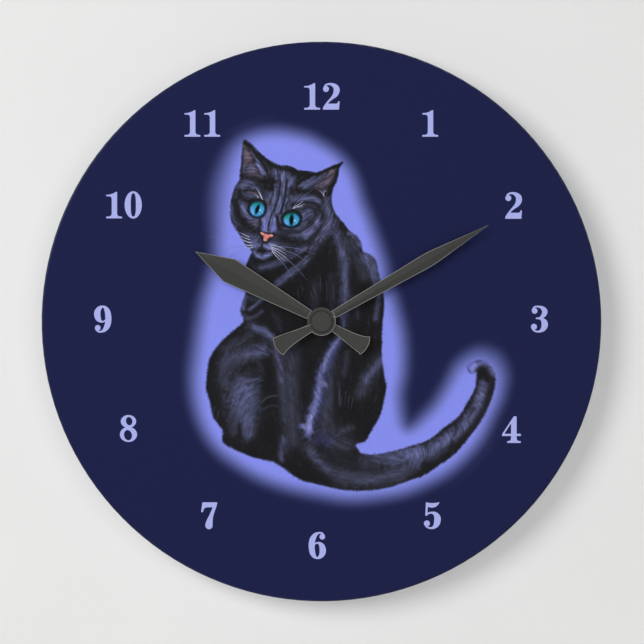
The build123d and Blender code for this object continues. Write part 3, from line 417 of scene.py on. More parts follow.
    ("slate", 0.95, 4.4, [(10, -75), (22, -76.6), (34, -75.4), (43, -71)]),
    ("fur", 0.35, 2.6, [(18, -77), (30, -76.4), (40, -73)]),
    ("coal", 0.8, 2.6, [(6, -66), (16, -70), (26, -71)]),
    ("slate", 0.9, 3.6, [(22, -67.6), (32, -67.4), (42, -66.6)]),
    ("fur", 0.9, 3.4, [(34, -66.4), (42, -65.4), (48, -64.4)]),
    ("fur", 0.8, 2.0, [(27, -66.6), (34, -65.4), (42, -63.4)]),
    ("violet", 0.8, 3.0, [(44, -65.6), (48, -64)]),
    ("violet", 0.6, 1.6, [(46.6, -70), (48, -67)]),
    ("ink", 0.5, 0.9, [(51.4, -59.6), (52, -64), (50.6, -68)]),
    ("fur", 0.95, 3.6, [(53, -64), (60, -58.4), (68.2, -52.4), (74.2, -45.2), (77.8, -37.4),
                        (79, -30)]),
    ("violet", 0.55, 2.4, [(56, -61), (61, -57.4), (63.6, -56)]),
    ("slate", 0.6, 1.2, [(57, -64.6), (61.6, -62)]),
    ("violet", 0.6, 2.0, [(69.6, -51), (72.6, -47)]),
    ("violet", 0.5, 1.9, [(75.8, -41), (78, -35)]),
    ("ink", 0.5, 0.9, [(64.6, -56), (66, -52), (65, -50)]),
    ("ink", 0.5, 0.8, [(72, -46.6), (74.6, -42)]),
    ("ink", 0.7, 1.6, [(44, -77), (54, -71.6), (63, -64), (72.4, -53), (79.4, -42), (83, -31)]),
    ("ink", 0.65, 0.9, [(56, -55.2), (64, -49), (71, -41), (75.2, -32), (76.4, -27)]),
    ("ink", 0.7, 1.0, [(62, -61.6), (64, -58.6)]),
    ("violet", 0.95, 2.6, [(72.6, -24), (74.6, -20), (78.4, -18.6), (82.4, -21), (84, -24.4)]),
    ("periwinkle", 0.9, 2.6, [(71.6, -25), (72.6, -20.6), (76.6, -18.6)]),
    ("glow", 0.6, 1.4, [(72.4, -23.4), (74.6, -20.8)]),
    ("ink", 1, 2.2, [(78.6, -24.6), (80.8, -28)]),
    ("ink", 0.7, 1.0, [(77, -24.4), (77.2, -28)]),
]

# Small crisp touches laid over the fur: nose, lids, corners of the eyes, mouth.
DETAILS = [
    ("ink", 0.8, 0.6, [(-29.9, 43.6), (-26.4, 42.9), (-22.9, 42.2), (-25, 40), (-27.4, 38.4),
                       (-29, 40.6), (-29.9, 43.6)]),
    ("coral", 0.9, 0.65, [(-28.8, 42.8), (-26.6, 42), (-24.4, 41.9), (-26.4, 40.9),
                          (-27.6, 41.6)]),
    ("coral", 1, 0.6, [(-27.6, 41), (-27.5, 39.6)]),
    ("pink", 0.8, 0.7, [(-27, 41.8), (-26.2, 41.3)]),
    ("peach", 0.9, 0.45, [(-29.4, 43.2), (-28.5, 42.6)]),
    ("peach", 0.9, 0.4, [(-25, 42), (-23.9, 41.9)]),
    ("peach", 0.8, 0.35, [(-28.1, 40.2), (-27.9, 39.6)]),
    ("peach", 0.8, 0.3, [(-26.9, 40.2), (-26.8, 39.6)]),
    ("ink", 0.9, 0.5, [(-28.4, 38.7), (-27, 38.4)]),
    ("ink", 0.85, 0.8, [(-19.4, 47.3), (-17.6, 48)]),
    ("ink", 0.95, 0.5, [(-35.4, 57.6), (-33.6, 59), (-30.8, 59.5), (-28, 58.6), (-26.8, 56.6)]),
    ("ink", 0.8, 0.4, [(-35.6, 57), (-35.9, 54.2), (-34.4, 51.6)]),
    ("ink", 0.85, 0.5, [(-27.2, 56), (-26.8, 53.6), (-28.4, 51.2)]),
    ("ink", 0.95, 0.6, [(-19, 50.6), (-17.4, 53.2), (-14.2, 53.9), (-11.4, 53.4), (-9.8, 51)]),
    ("ink", 0.85, 0.5, [(-9.8, 51), (-10.4, 48), (-12.6, 46.2), (-15.6, 45.9), (-18.6, 47)]),
    ("rust", 0.6, 0.4, [(-20, 49.4), (-19.4, 47.8)]),
    ("fur", 0.8, 0.4, [(-35.8, 52.4), (-34, 50.4), (-31, 49.9)]),
    ("violet", 0.8, 0.4, [(-26.4, 54.6), (-27, 52.4), (-28.6, 50.4)]),
    ("violet", 0.6, 0.35, [(-20.2, 51.6), (-20.4, 49.4)]),
    ("ink", 0.8, 0.35, [(-29, 41.3), (-28.6, 40)]),
    ("ink", 0.7, 0.35, [(-25.9, 40.3), (-24.9, 41)]),
    # the light end of the tail
    ("periwinkle", 0.9, 1.3, [(73.2, -23.6), (73.6, -21.6), (76.2, -20.2)]),
    ("glow", 0.5, 0.8, [(73.8, -23), (74.6, -21.4)]),
    ("hyacinth", 0.7, 0.7, [(75.2, -25.1), (72.9, -25.2), (71.4, -23.3), (72, -21.2),
                            (74.5, -19.7), (77.8, -18.9), (80.8, -20.2)]),
    ("indigo", 0.5, 0.6, [(71.6, -23.4), (72, -24.8)]),
    ("indigo", 0.6, 0.6, [(75.4, -19.6), (77.6, -19.3)]),
    ("indigo", 0.5, 0.5, [(76.2, -20.2), (77.2, -22.4)]),
]

# Lines that only steer the lie of the fur.
FUR_LIE = [
    [(-26, 46), (-22, 60), (-20, 76)], [(-30, 48), (-38, 46), (-44, 52)],
    [(-22, 41), (-10, 40), (2, 48), (4, 58)], [(-38, 76), (-30, 78)], [(-38, 82), (-33, 81)],
    [(-8, 66), (8, 76)], [(-30, 33), (-24, 25), (-10, 25)], [(-5, 26), (-4, 8), (-6, -10)],
    [(-20, 14), (-18, 0)], [(3, 36), (4, 16), (5, -2)], [(16, 40), (25, 28), (28, 8), (28, -16)],
    [(29, -20), (30, -34), (22, -56)], [(16, 2), (14, -24), (12, -48)], [(20, -16), (19, -44)],
    [(-40, -3), (-51, -14), (-55, -30), (-52, -46), (-46, -60)],
    [(-20, -20), (-19, -44), (-20, -68)], [(-14, -10), (-14, -40), (-14, -70)],
    [(-36, -62), (-22, -66)], [(0, -60), (20, -68), (40, -70)],
    [(-16, -72), (0, -80), (24, -81), (42, -78)], [(-39, 12), (-36, 24)],
    [(-50, -28), (-44, -19), (-32, -14), (-26, -16)], [(-46, -38), (-40, -29), (-30, -25)],
    [(-45, -46), (-38, -36), (-29, -33)], [(-43, -56), (-40, -46), (-33, -40)],
    [(-36, -58), (-34, -46), (-29, -42)], [(-20, -34), (-25, -26)], [(-18, -46), (-22, -40)],
    [(-21, -24), (-27, -18)], [(-25, -54), (-27, -46)], [(8, -13), (5, -10.6)],
    [(3.4, -22), (0, -18)], [(0.4, -32), (-2.6, -27)], [(-0.6, -42), (-4, -38)],
    [(-3, -50), (-7.4, -45)], [(-3, -56), (-8, -60)], [(46, -61), (48, -66), (46, -72)],
    [(54, -57), (57, -63), (55, -68)], [(61, -52), (64, -58), (63, -63)],
    [(67, -46), (71, -51), (71, -55)], [(71, -39), (76, -43), (77, -47)],
    [(74, -32), (79, -35), (82, -38)], [(76, -26), (80, -28), (83, -30)],
]

# Each eye: middle, radii and tilt; half size and tilt of the pupil; how far the green leans.
EYES = [
    ((-31.3, 54.7), (3.95, 3.9), 12, (0.72, 2.1), -20, 0.3),
    ((-14.6, 49.6), (4.35, 3.45), 8, (0.85, 2.4), -4, -0.9),
]


def lie_field(x, z):
    """Unit direction of the fur at every point, from the strokes and the steering lines."""
    coarse_x, coarse_z = x[::LIE_STEP, ::LIE_STEP], z[::LIE_STEP, ::LIE_STEP]
    double_cos, double_sin = np.zeros(coarse_x.shape), np.zeros(coarse_x.shape)
    paths = [(path, 1.0) for path in FUR_LIE]
    paths += [(path, FINE_PULL) for _, _, half_width, path in FUR_STROKES
              if half_width < FINE_STROKE and len(path) > 2]
    for path, weight in paths:
        for (ax, az), (bx, bz) in zip(path[:-1], path[1:]):
            length = math.hypot(bx - ax, bz - az)
            angle = 2.0 * math.atan2(bz - az, bx - ax)
            gap = (coarse_x - 0.5 * (ax + bx)) ** 2 + (coarse_z - 0.5 * (az + bz)) ** 2
            pull = weight * length / (gap + 0.12 * length**2 + 2.0) ** 1.6
            double_cos += pull * math.cos(angle)
            double_sin += pull * math.sin(angle)
    angle = np.arctan2(double_sin, double_cos)
    double_cos = stretched(np.cos(angle), x.shape)
    double_sin = stretched(np.sin(angle), x.shape)
    angle = 0.5 * np.arctan2(double_sin, double_cos)
    return np.cos(angle).astype(np.float32), np.sin(angle).astype(np.float32)


def stretched(coarse, shape):
    """A coarse grid brought to the given shape, blended between its points."""
    wide = np.repeat(np.repeat(coarse, LIE_STEP, 0), LIE_STEP, 1)[:shape[0], :shape[1]]
    for _ in range(3):
        for axis in (0, 1):
            wide = sum(np.roll(wide, k, axis) for k in range(-3, 4)) / 7.0
    return wide


def combed(noise, along_x, along_z, reach):
    """Noise smeared along the lie of the fur, which turns it into hairs; spread over 0 to 1."""
    noise = noise.astype(np.float32)
    rows, columns = np.indices(noise.shape).astype(np.float32)
    total, weight = noise.copy(), 1.0

    def nearest(row, column):
        return (np.clip(np.rint(row).astype(np.int32), 0, noise.shape[0] - 1),
                np.clip(np.rint(column).astype(np.int32), 0, noise.shape[1] - 1))

    for way in (1.0, -1.0):
        row, column = rows.copy(), columns.copy()
        last_x, last_z = way * along_x, way * along_z
        for step in range(reach):
            here = nearest(row, column)
            dx, dz = along_x[here], along_z[here]
            turn = np.where(dx * last_x + dz * last_z < 0.0, -1.0, 1.0)
            last_x, last_z = dx * turn, dz * turn
            column += last_x
            row += last_z
            share = 1.0 - (step + 1.0) / (reach + 1.0)
            total += share * noise[nearest(row, column)]
            weight += share
    return full_range(total / weight)


def lay(picture, paint, amount):
    """Paint over the picture: amount is 0 to 1 at every point."""
    picture += (np.array(PAINTS[paint], float) - picture) * amount[..., None]


def halo_field():
    """Signed distance to the middle of the halo's edge, on a grid of its own."""
    x, z = np.meshgrid(np.arange(LEFT - HALO_MARGIN, RIGHT + HALO_MARGIN, HALO_GRID),
                       np.arange(LOW - HALO_MARGIN, HIGH + HALO_MARGIN, HALO_GRID))
    return x, z, inside_field(x, z, curve_through(HALO, closed=True, steps=4), HALO_REACH)


def sample(field, x, z):
    """Value of a gridded field at scattered points, blended between its four neighbours."""
    grid_x, grid_z, values = field
    step = grid_x[0, 1] - grid_x[0, 0]
    u = np.clip((x - grid_x[0, 0]) / step, 0.0, values.shape[1] - 1.001)
    v = np.clip((z - grid_z[0, 0]) / step, 0.0, values.shape[0] - 1.001)
    j, i = u.astype(int), v.astype(int)
    u, v = u - j, v - i
    return ((values[i, j] * (1 - u) + values[i, j + 1] * u) * (1 - v)
            + (values[i + 1, j] * (1 - u) + values[i + 1, j + 1] * u) * v)


def ground_colour(x, z, halo):
    """Navy with the soft bright halo round the cat."""
    softness = np.full(x.shape, HALO_SOFTNESS)
    for (spot_x, spot_z), reach, extra in SOFT_SPOTS:
        softness += extra * np.exp(-((x - spot_x) ** 2 + (z - spot_z) ** 2) / reach**2)
    amount = 1.0 - fade(sample(halo, x, z) / softness, -1.0, 1.0)
    amount = amount[..., None]
    navy, glow = np.array(PAINTS["navy"], float), np.array(PAINTS["glow"], float)
    return navy + (glow - navy) * amount + HALO_TINT * amount * (1.0 - amount)


def paint_eye(picture, x, z, centre, radii, tilt, slit, slit_tilt, lean):
    """A round cat's eye: dark lids, blue iris with pale flecks, green above, upright pupil."""
    u, v = turned(x, z, centre, tilt)
    u, v = u / radii[0], v / radii[1]
    r, turn = np.hypot(u, v), np.arctan2(v, u)
    rays = 0.5 + 0.5 * np.sin(turn * 19.0 + 2.5 * np.sin(turn * 4.0) + 5.0 * r)
    ring = fade(r, 0.15, 0.45) * (1.0 - fade(r, 0.6, 0.95))
    green = fade(v + 0.5 * lean * u, 0.2, 0.85) * (1.0 - fade(r, 0.86, 1.0))
    across, along = turned(x, z, centre, slit_tilt)
    pupil = np.hypot(across / slit[0], along / slit[1])
    glint = np.hypot(x - centre[0] - 0.34 * radii[0], z - centre[1] + 0.1 * radii[1])
    for paint, amount in (
            ("ink", 0.85 * (1.0 - fade(r, 1.02, 1.34))),
            ("iris_rim", 1.0 - fade(r, 0.92, 1.08)),
            ("iris", 1.0 - fade(r, 0.74, 0.98)),
            ("iris_ray", ring * (0.15 + 0.75 * rays)),
            ("iris_pale", 0.5 * fade(u - 0.9 * v, 0.3, 1.0) * rays * (1.0 - fade(r, 0.7, 0.92))),
            ("iris_side", 0.5 * fade(-u, 0.25, 0.7) * rays * (1.0 - fade(r, 0.74, 0.95))),
            ("iris_blue", 0.8 * fade(-u - 0.5 * v, 0.3, 0.9) * (1.0 - fade(r, 0.72, 0.95))),
            ("iris_green", 0.75 * green),
            ("lid_shade", 0.55 * fade(v, 0.55, 1.0) * (1.0 - fade(r, 0.95, 1.1))),
            ("pupil_rim", 0.75 * (1.0 - fade(pupil, 1.0, 1.8))),
            ("pupil", 1.0 - fade(pupil, 0.8, 1.15)),
            ("glint", 0.7 * (1.0 - fade(glint, 0.25, 0.7)))):
        lay(picture, paint, amount)


def edge_hairs(x, z, edge, random):
    """Fine hairs that stand out from the cat's outline, taken into its distance field."""
    line = curve_through(CAT, closed=True, steps=12)
    ways = np.roll(line, -2, axis=0) - np.roll(line, 2, axis=0)
    ways /= np.linalg.norm(ways, axis=1)[:, None]
    for place, (wx, wz) in zip(line[::2], ways[::2]):
        shortest, longest = (0.1, 0.85) if place[1] < SHORT_HAIRS_ABOVE else (0.0, 0.65)
        length = random.uniform(shortest, longest)
        lean = random.uniform(0.0, 1.6) * (1.0 if wz < 0.0 else -1.0)
        way = np.array([-wz + lean * wx, wx + lean * wz])
        way /= np.linalg.norm(way)
        path = np.array([place - HAIR_ROOT * way, place + length * way])
        near = window(x, z, path, 0.8)
        near_x, near_z = x[near] - path[0, 0], z[near] - path[0, 1]
        share = (near_x * way[0] + near_z * way[1]) / (length + HAIR_ROOT)
        across = np.abs(near_z * way[0] - near_x * way[1])
        hair = np.where((share > 0.0) & (share < 1.0), across - 0.5 * (1.0 - share), 9.0)
        edge[near] = np.minimum(edge[near], hair)


def stroke(x, z, half_width, path):
    """The part of the grid that a stroke covers, and the distance there in half widths."""
    path = curve_through(path)
    near = window(x, z, path, 2.6 * half_width)
    return near, distance_to(x[near], z[near], path) / half_width


def paint_coat(x, z, fine, coarse, mottle):
    """The cat on its own: soft strokes on ink, the light on single hairs, crisp touches, eyes."""
    picture = np.empty(x.shape + (3,))
    picture[:] = PAINTS["ink"]
    hairs = 0.35 * fine + 0.25 * coarse + 0.4 * mottle
    ragged = 0.35 * (coarse - 0.5) + 1.0 * (mottle - 0.5)
    for paint, strength, half_width, path in FUR_STROKES:
        near, gap = stroke(x, z, half_width, path)
        gap = np.maximum(gap + ragged[near], 0.0)
        broken = np.clip(1.05 + 0.8 * (hairs[near] - 0.5), 0.6, 1.4)
        lay(picture[near], paint, np.clip(strength * np.exp(-gap**2.2) * broken, 0.0, 1.0))
    bright = np.clip((picture.mean(axis=2) - 32.0) / 50.0, 0.0, 1.0)
    crisp = (0.12 + 0.16 * bright) * (1.0 + 0.9 * fade(z, 24.0, 36.0))
    light = (1.0 + crisp * (fine - 0.5) + (0.08 + 0.16 * bright) * (coarse - 0.5)
             + 0.16 * (mottle - 0.5))
    picture *= light[..., None]
    lay(picture, "fur", 0.14 * fade(coarse, 0.7, 0.95) * fade(mottle, 0.4, 0.7))
    for paint, strength, half_width, path in DETAILS:
        near, gap = stroke(x, z, half_width, path)
        lay(picture[near], paint, strength * np.exp(-gap**4))
    for eye in EYES:
        paint_eye(picture, x, z, *eye)
    return picture


def paint_picture(halo):
    """The whole print on one grid: x, z, distance to the cat's outline, and colours 0 to 255."""
    x, z = np.meshgrid(np.arange(LEFT, RIGHT, GRID), np.arange(LOW, HIGH, GRID))
    random = np.random.default_rng(SEED)
    along_x, along_z = lie_field(x, z)
    fine = combed(blur(random.random(x.shape), 1), along_x, along_z, 12)
    coarse = combed(blur(random.random(x.shape), 5), along_x, along_z, 16)
    mottle = full_range(blur(random.random(x.shape), 9))
    edge = inside_field(x, z, curve_through(CAT, closed=True, steps=3), OUTLINE_REACH)
    edge += 0.4 * (coarse - 0.5) + 0.3 * (fine - 0.5)
    edge_hairs(x, z, edge, random)
    coat = paint_coat(x, z, fine, coarse, mottle)
    ground = ground_colour(x, z, halo)
    amount = 1.0 - fade(edge, -0.45, 0.45)
    return x, z, edge, ground + (coat - ground) * amount[..., None]


# ---------------------------------------------------------------- meshes
def linear(colour):
    """Display colour 0 to 255 to the linear values that a shader takes."""
    c = np.clip(np.array(colour, float) / 255.0, 0.0, 1.0)
    return np.where(c <= 0.04045, c / 12.92, ((c + 0.055) / 1.055) ** 2.4)


def make_object(name, points, faces, material, colours=None):
    """A mesh object from points in metres; colours are 0 to 255, one for each point."""
    mesh = bpy.data.meshes.new(name)
    mesh.from_pydata(points, [], faces)
    if colours is not None:
        attribute = mesh.attributes.new("print", "FLOAT_COLOR", "POINT")
        rgba = np.ones((len(points), 4), np.float32)
        rgba[:, :3] = linear(colours)
        attribute.data.foreach_set("color", rgba.ravel())
    mesh.materials.append(material)
    made = bpy.data.objects.new(name, mesh)
    bpy.context.scene.collection.objects.link(made)
    return made


def dial_piece(name, points, faces, material, colours=None):
    """A printed piece, which stays with the dial."""
    piece = make_object(name, points, faces, material, colours)
    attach(piece, "clock_body")


def on_dial(x, z, lift):
    """Metres in the frame for a point in mm from the hand axis, lift mm above the dial's face."""
    return (axis_x + x * MM, face_y - lift * MM, axis_z + z * MM)


def loops_of(following):
    """Loops from a map of each point to the next one, which is used up."""
    loops = []
    while following:
        start, here = following.popitem()
        loop = [start]
        while here in following:
            loop.append(here)
            here = following.pop(here)
        loops.append(loop)
    return loops


def fill(loops, points):
    """Triangles, seen from behind, that fill loops of point numbers; holes run clockwise."""
    paths = [np.array([(points[i][0], points[i][2]) for i in loop]) for loop in loops]
    areas = [np.sum(path[:, 0] * np.roll(path[:, 1], -1) - path[:, 1] * np.roll(path[:, 0], -1))
             for path in paths]
    faces = []
    for outline, path in enumerate(paths):
        if areas[outline] < 0.0:
            continue
        low, high = path.min(axis=0), path.max(axis=0)
        group = [outline]
        group += [k for k, hole in enumerate(paths)
                  if areas[k] < 0.0 and (low < hole[0]).all() and (hole[0] < high).all()]
        order = [index for k in group for index in loops[k]]
        corners = tessellate_polygon([[Vector((x, z, 0.0)) for x, z in paths[k]] for k in group])
        faces += [(order[a], order[c], order[b]) for a, b, c in corners]
    return faces


def tube(start, rings, closed):
    """Faces of a square tube over rings of four points, joined into a loop or capped."""
    faces = []
    for k in range(rings if closed else rings - 1):
        a, b = start + 4 * k, start + 4 * ((k + 1) % rings)
        faces += [(a + s, a + t, b + t, b + s) for s, t in ((0, 1), (1, 2), (2, 3), (3, 0))]
    if not closed:
        end = start + 4 * (rings - 1)
        faces += [(start + 3, start + 2, start + 1, start), (end, end + 1, end + 2, end + 3)]
    return faces


def field_plate(name, x, z, field, layer, material, picture=None):
    """A thin closed plate on the dial wherever field is negative, with smooth cut edges."""
    inside = field < 0.0
    spots, number = [], {}                  # a spot is two grid points and a share between them

    def corner(here):
        if here not in number:
            number[here] = len(spots)
            spots.append((*here, *here, 0.0))
        return number[here]

    def cut(here, there):
        here, there = sorted((here, there))
        if (here, there) not in number:
            share = field[here] / (field[here] - field[there])
            number[here, there] = len(spots)
            spots.append((*here, *there, min(max(share, 0.03), 0.97)))
        return number[here, there]

    faces, following = [], {}
    count = inside[:-1, :-1].astype(int) + inside[:-1, 1:] + inside[1:, 1:] + inside[1:, :-1]
    for i, j in zip(*np.nonzero(count)):
        ring = [(i, j), (i, j + 1), (i + 1, j + 1), (i + 1, j)]
        face, cuts = [], []
        for here, there in zip(ring, ring[1:] + ring[:1]):
            if inside[here]:
                face.append(corner(here))
            if inside[here] != inside[there]:
                face.append(cut(here, there))
                cuts.append((face[-1], inside[here]))
        faces.append(face)
        for (a, leaving), (b, _) in zip(cuts, cuts[1:] + cuts[:1]):
            if leaving:
                following[a] = b

    fronts, backs = len(spots), []
    for loop in loops_of(following):
        back = [len(spots) + k for k in range(len(loop))]
        backs.append(back)
        spots += [spots[index] for index in loop]
        for k in range(len(loop)):
            n = (k + 1) % len(loop)
            faces.append([loop[n], loop[k], back[k], back[n]])
    spots = np.array(spots)
    share = spots[:, 4]
    i, j, k, m = spots[:, :4].astype(int).T
    places = zip(x[i, j] + share * (x[k, m] - x[i, j]), z[i, j] + share * (z[k, m] - z[i, j]))
    low, high = layer
    points = [on_dial(px, pz, high if index < fronts else low)
              for index, (px, pz) in enumerate(places)]
    faces += fill(backs, points)
    colours = None
    if picture is not None:
        colours = picture[i, j] + share[:, None] * (picture[k, m] - picture[i, j])
    dial_piece(name, points, faces, material, colours)


def ground_plate(halo, material):
    """The navy print with the halo, as one thin ring-shaped plate over the whole face."""
    angles = np.arange(GROUND_TURNS) * 2.0 * math.pi / GROUND_TURNS
    x = GROUND_RINGS[:, None] * np.cos(angles)
    z = GROUND_RINGS[:, None] * np.sin(angles)
    low, high = GROUND_LAYER
    points = [on_dial(px, pz, high) for px, pz in zip(x.ravel(), z.ravel())]
    points += [on_dial(px, pz, low) for ring in (0, -1) for px, pz in zip(x[ring], z[ring])]
    colours = ground_colour(x, z, halo)
    colours = np.vstack([*colours, colours[0], colours[-1]])
    last = GROUND_TURNS * (len(GROUND_RINGS) - 1)
    inner, outer = last + GROUND_TURNS, last + 2 * GROUND_TURNS
    faces = []
    for k in range(GROUND_TURNS):
        n = (k + 1) % GROUND_TURNS
        for a in range(0, last, GROUND_TURNS):
            b = a + GROUND_TURNS
            faces.append((a + k, b + k, b + n, a + n))
        faces.append((k, n, inner + n, inner + k))
        faces.append((last + n, last + k, outer + k, outer + n))
        faces.append((outer + k, inner + k, inner + n, outer + n))
    dial_piece("print_ground", points, faces, material, colours)


def cat_plates(halo, material):
    """The cat with a little halo round it: a finer plate for the head, a coarser for the body."""
    x, z, edge, picture = paint_picture(halo)
    head = (slice(int((HEAD_LOW - 1.0 - LOW) / GRID), None),
            slice(0, int((HEAD_RIGHT + 1.0 - LEFT) / GRID)))
    field = np.maximum.reduce([edge[head] - PLATE_MARGIN, x[head] - HEAD_RIGHT,
                               HEAD_LOW - z[head]])
    field_plate("print_cat_head", x[head], z[head], field, HEAD_LAYER, material, picture[head])
    picture = blur(picture, 1)[::2, ::2]
    x, z, edge = x[::2, ::2], z[::2, ::2], edge[::2, ::2]
    under_head = np.minimum(HEAD_RIGHT - PLATE_OVERLAP - x, z - HEAD_LOW - PLATE_OVERLAP)
    field = np.maximum(edge - PLATE_MARGIN, under_head)
    field_plate("print_cat_body", x, z, field, BODY_LAYER, material, picture)


def hair_piece(name, hairs, layer, material):
    """Tapered printed hairs: each is (full width at the root in mm, path in mm, root first)."""
    low, high = layer
    points, faces = [], []
    for width, path in hairs:
        line = curve_through(path, steps=5)
        ways = np.gradient(line, axis=0)
        ways /= np.linalg.norm(ways, axis=1)[:, None]
        share = np.linspace(0.0, 1.0, len(line))
        half = 0.5 * width * np.minimum(1.0, 0.45 + 4.0 * share) * (1.0 - share) ** 0.7 + 0.012
        faces += tube(len(points), len(line), closed=False)
        for (x, z), (wx, wz), h in zip(line, ways, half):
            for side, lift in ((1, low), (1, high), (-1, high), (-1, low)):
                points.append(on_dial(x - side * wz * h, z + side * wx * h, lift))
    dial_piece(name, points, faces, material)


def front_outlines(node_name):
    """Loops round the front faces of a CAD node: (point in metres, normal of the face beside)."""
    mesh = nodes[node_name].data
    number, places, corner = {}, [], []
    for vertex in mesh.vertices:
        key = tuple(round(c * 1e6) for c in vertex.co)
        if key not in number:
            number[key] = len(places)
            places.append(vertex.co.copy())
        corner.append(number[key])
    beside = {}
    for polygon in mesh.polygons:
        if polygon.normal.y < FRONT_NORMAL:
            ring = [corner[i] for i in polygon.vertices]
            for a, b in zip(ring, ring[1:] + ring[:1]):
                beside[a, b] = polygon.normal.copy()
    following = {a: b for a, b in beside if (b, a) not in beside}
    corners = {a: (places[a], beside[a, b]) for a, b in following.items()}
    return [[corners[a] for a in loop] for loop in loops_of(following)]


def rim_piece(name, node_name, body, material):
    """A painted highlight: a thin bright line just inside the outline of a CAD node's front,
    standing in for light caught by its cut edge.
    """
    points, faces = [], []
    for loop in front_outlines(node_name):
        ring = [loop[0]]
        for place, normal in loop[1:]:
            if (place - ring[-1][0]).length > CLOSEST_CORNERS:
                ring.append((place, normal))
        if len(ring) < FEWEST_CORNERS:
            continue
        faces += tube(len(points), len(ring), closed=True)
        following = ring[1:] + ring[:1]
        for (before, _), (p, normal), (after, _) in zip(ring[-1:] + ring, ring, following):
            first = Vector((p.x - before.x, 0.0, p.z - before.z)).normalized()
            second = Vector((after.x - p.x, 0.0, after.z - p.z)).normalized()
            way = (first + second).normalized()
            mitre = min(1.0 / max(way.dot(first), 1e-3), LONGEST_MITRE)
            inward = Vector((-way.z, 0.0, way.x)) * RIM_WIDTH * mitre
            inner = p + inward
            inner.y -= (normal.x * inward.x + normal.z * inward.z) / normal.y
            points += [(inner.x, inner.y + RIM_LIFT, inner.z),
                       (inner.x, inner.y - RIM_LIFT, inner.z),
                       (p.x, p.y - RIM_LIFT, p.z), (p.x, p.y + RIM_LIFT, p.z)]
    piece = make_object(name, points, faces, material)
    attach(piece, body)


# ---------------------------------------------------------------- numerals
def pen(x, z, *path):
    """Distance to a drawn stroke, or to a dot: each point is (x, z, half width)."""
    field = np.full(x.shape, 99.0)
    for px, pz, r in curve_through(path, steps=10) if len(path) > 1 else path:
        field = np.minimum(field, np.hypot(x - px, z - pz) - r)
    return field


def oval(x, z, cx, cz, rx, rz, tilt=0.0, power=2.0):
    """Rough signed distance to an oval, squarer when power is above 2."""
    u, v = turned(x, z, (cx, cz), tilt)
    u, v = np.abs(u) / rx, np.abs(v) / rz
    return ((u**power + v**power) ** (1.0 / power) - 1.0) * min(rx, rz)


def area(x, z, outline):
    """Signed distance to a straight-sided outline."""
    return inside_field(x, z, np.array(outline, float), OUTLINE_REACH)


# Bold numerals with thick and thin strokes, ball ends and slab feet: mm from the lower left.
ONE = [(0, 0), (8, 0), (8, 0.85), (6.7, 0.95), (5.8, 1.4), (5.5, 2.3), (5.5, 13.35), (4.9, 13.3),
       (3.5, 12.5), (1.8, 11.95), (0, 11.8), (0, 11.15), (1.9, 11.05), (2.6, 10.6), (2.8, 9.7),
       (2.8, 2.3), (2.5, 1.4), (1.6, 0.95), (0, 0.85)]
TWO_PEN = [(0.65, 10.9, 0.35), (1.5, 12.3, 0.42), (3.3, 12.85, 0.5), (5.2, 12.4, 0.85),
           (6.7, 11.1, 1.35), (7.0, 9.4, 1.5), (6.3, 7.5, 1.2), (4.8, 5.9, 0.75), (3.2, 4.4, 0.5),
           (1.8, 2.7, 0.45), (0.9, 1.3, 0.5), (0.6, 0.6, 0.5)]
TWO_FOOT = [(0.05, 0), (8.2, 0), (8.5, 4.15), (7.8, 4.2), (7.5, 3.4), (6.9, 3.0), (2.2, 3.0),
            (1.6, 2.6), (0.3, 0.9)]
THREE_TOP = [(0.9, 11.6, 0.35), (2.0, 12.9, 0.42), (3.9, 13.05, 0.45), (5.6, 12.5, 0.8),
             (6.8, 11.3, 1.25), (7.0, 10.1, 1.35), (6.3, 8.6, 1.05), (4.9, 7.5, 0.55),
             (3.9, 7.2, 0.4), (2.9, 7.15, 0.4)]
THREE_LOW = [(3.8, 7.15, 0.35), (5.3, 6.8, 0.65), (6.6, 5.6, 1.3), (7.0, 4.0, 1.6),
             (6.5, 2.2, 1.3), (5.2, 0.95, 0.8), (3.7, 0.5, 0.48), (2.0, 0.8, 0.42),
             (0.8, 1.9, 0.38)]
FOUR = [(0, 3.5), (4.5, 3.5), (4.5, 2.2), (4.2, 1.35), (3.4, 0.95), (2.5, 0.85), (2.5, 0),
        (9.4, 0), (9.4, 0.85), (8.4, 0.95), (7.6, 1.35), (7.3, 2.2), (7.3, 3.5), (9.4, 3.5),
        (9.4, 4.6), (7.3, 4.6), (7.3, 13.35), (5.85, 13.35), (0, 4.4)]
FOUR_HOLE = [(1.15, 4.6), (4.5, 4.6), (4.5, 9.9)]
FIVE_TOP = [(1.0, 13.55), (2.2, 13.2), (4.4, 13.05), (6.4, 13.25), (8.0, 13.55), (6.9, 12.0),
            (5.8, 11.1), (4.2, 10.75), (2.9, 10.9), (2.0, 11.3), (1.75, 8.0), (1.3, 6.7),
            (0.7, 6.7)]
FIVE_PEN = [(1.2, 7.0, 0.35), (2.4, 8.0, 0.45), (4.2, 8.2, 0.55), (5.7, 7.6, 1.0), (6.7, 6.1, 1.5),
            (6.8, 4.4, 1.65), (6.3, 2.4, 1.35), (5.1, 1.0, 0.8), (3.6, 0.5, 0.48), (2.0, 0.8, 0.4),
            (0.8, 1.8, 0.36)]
SIX_PEN = [(7.7, 11.9, 0.35), (6.5, 13.05, 0.42), (4.9, 13.1, 0.48), (3.3, 12.2, 0.95),
           (2.1, 10.4, 1.4), (1.5, 8.2, 1.5), (1.45, 5.6, 1.5), (1.9, 3.0, 1.35), (2.9, 1.2, 0.85),
           (4.2, 0.5, 0.48), (5.6, 1.1, 0.9), (6.7, 2.6, 1.4), (7.0, 4.4, 1.6), (6.6, 6.4, 1.35),
           (5.6, 7.7, 0.8), (4.4, 8.15, 0.42), (3.2, 7.7, 0.35), (2.7, 7.0, 0.3)]
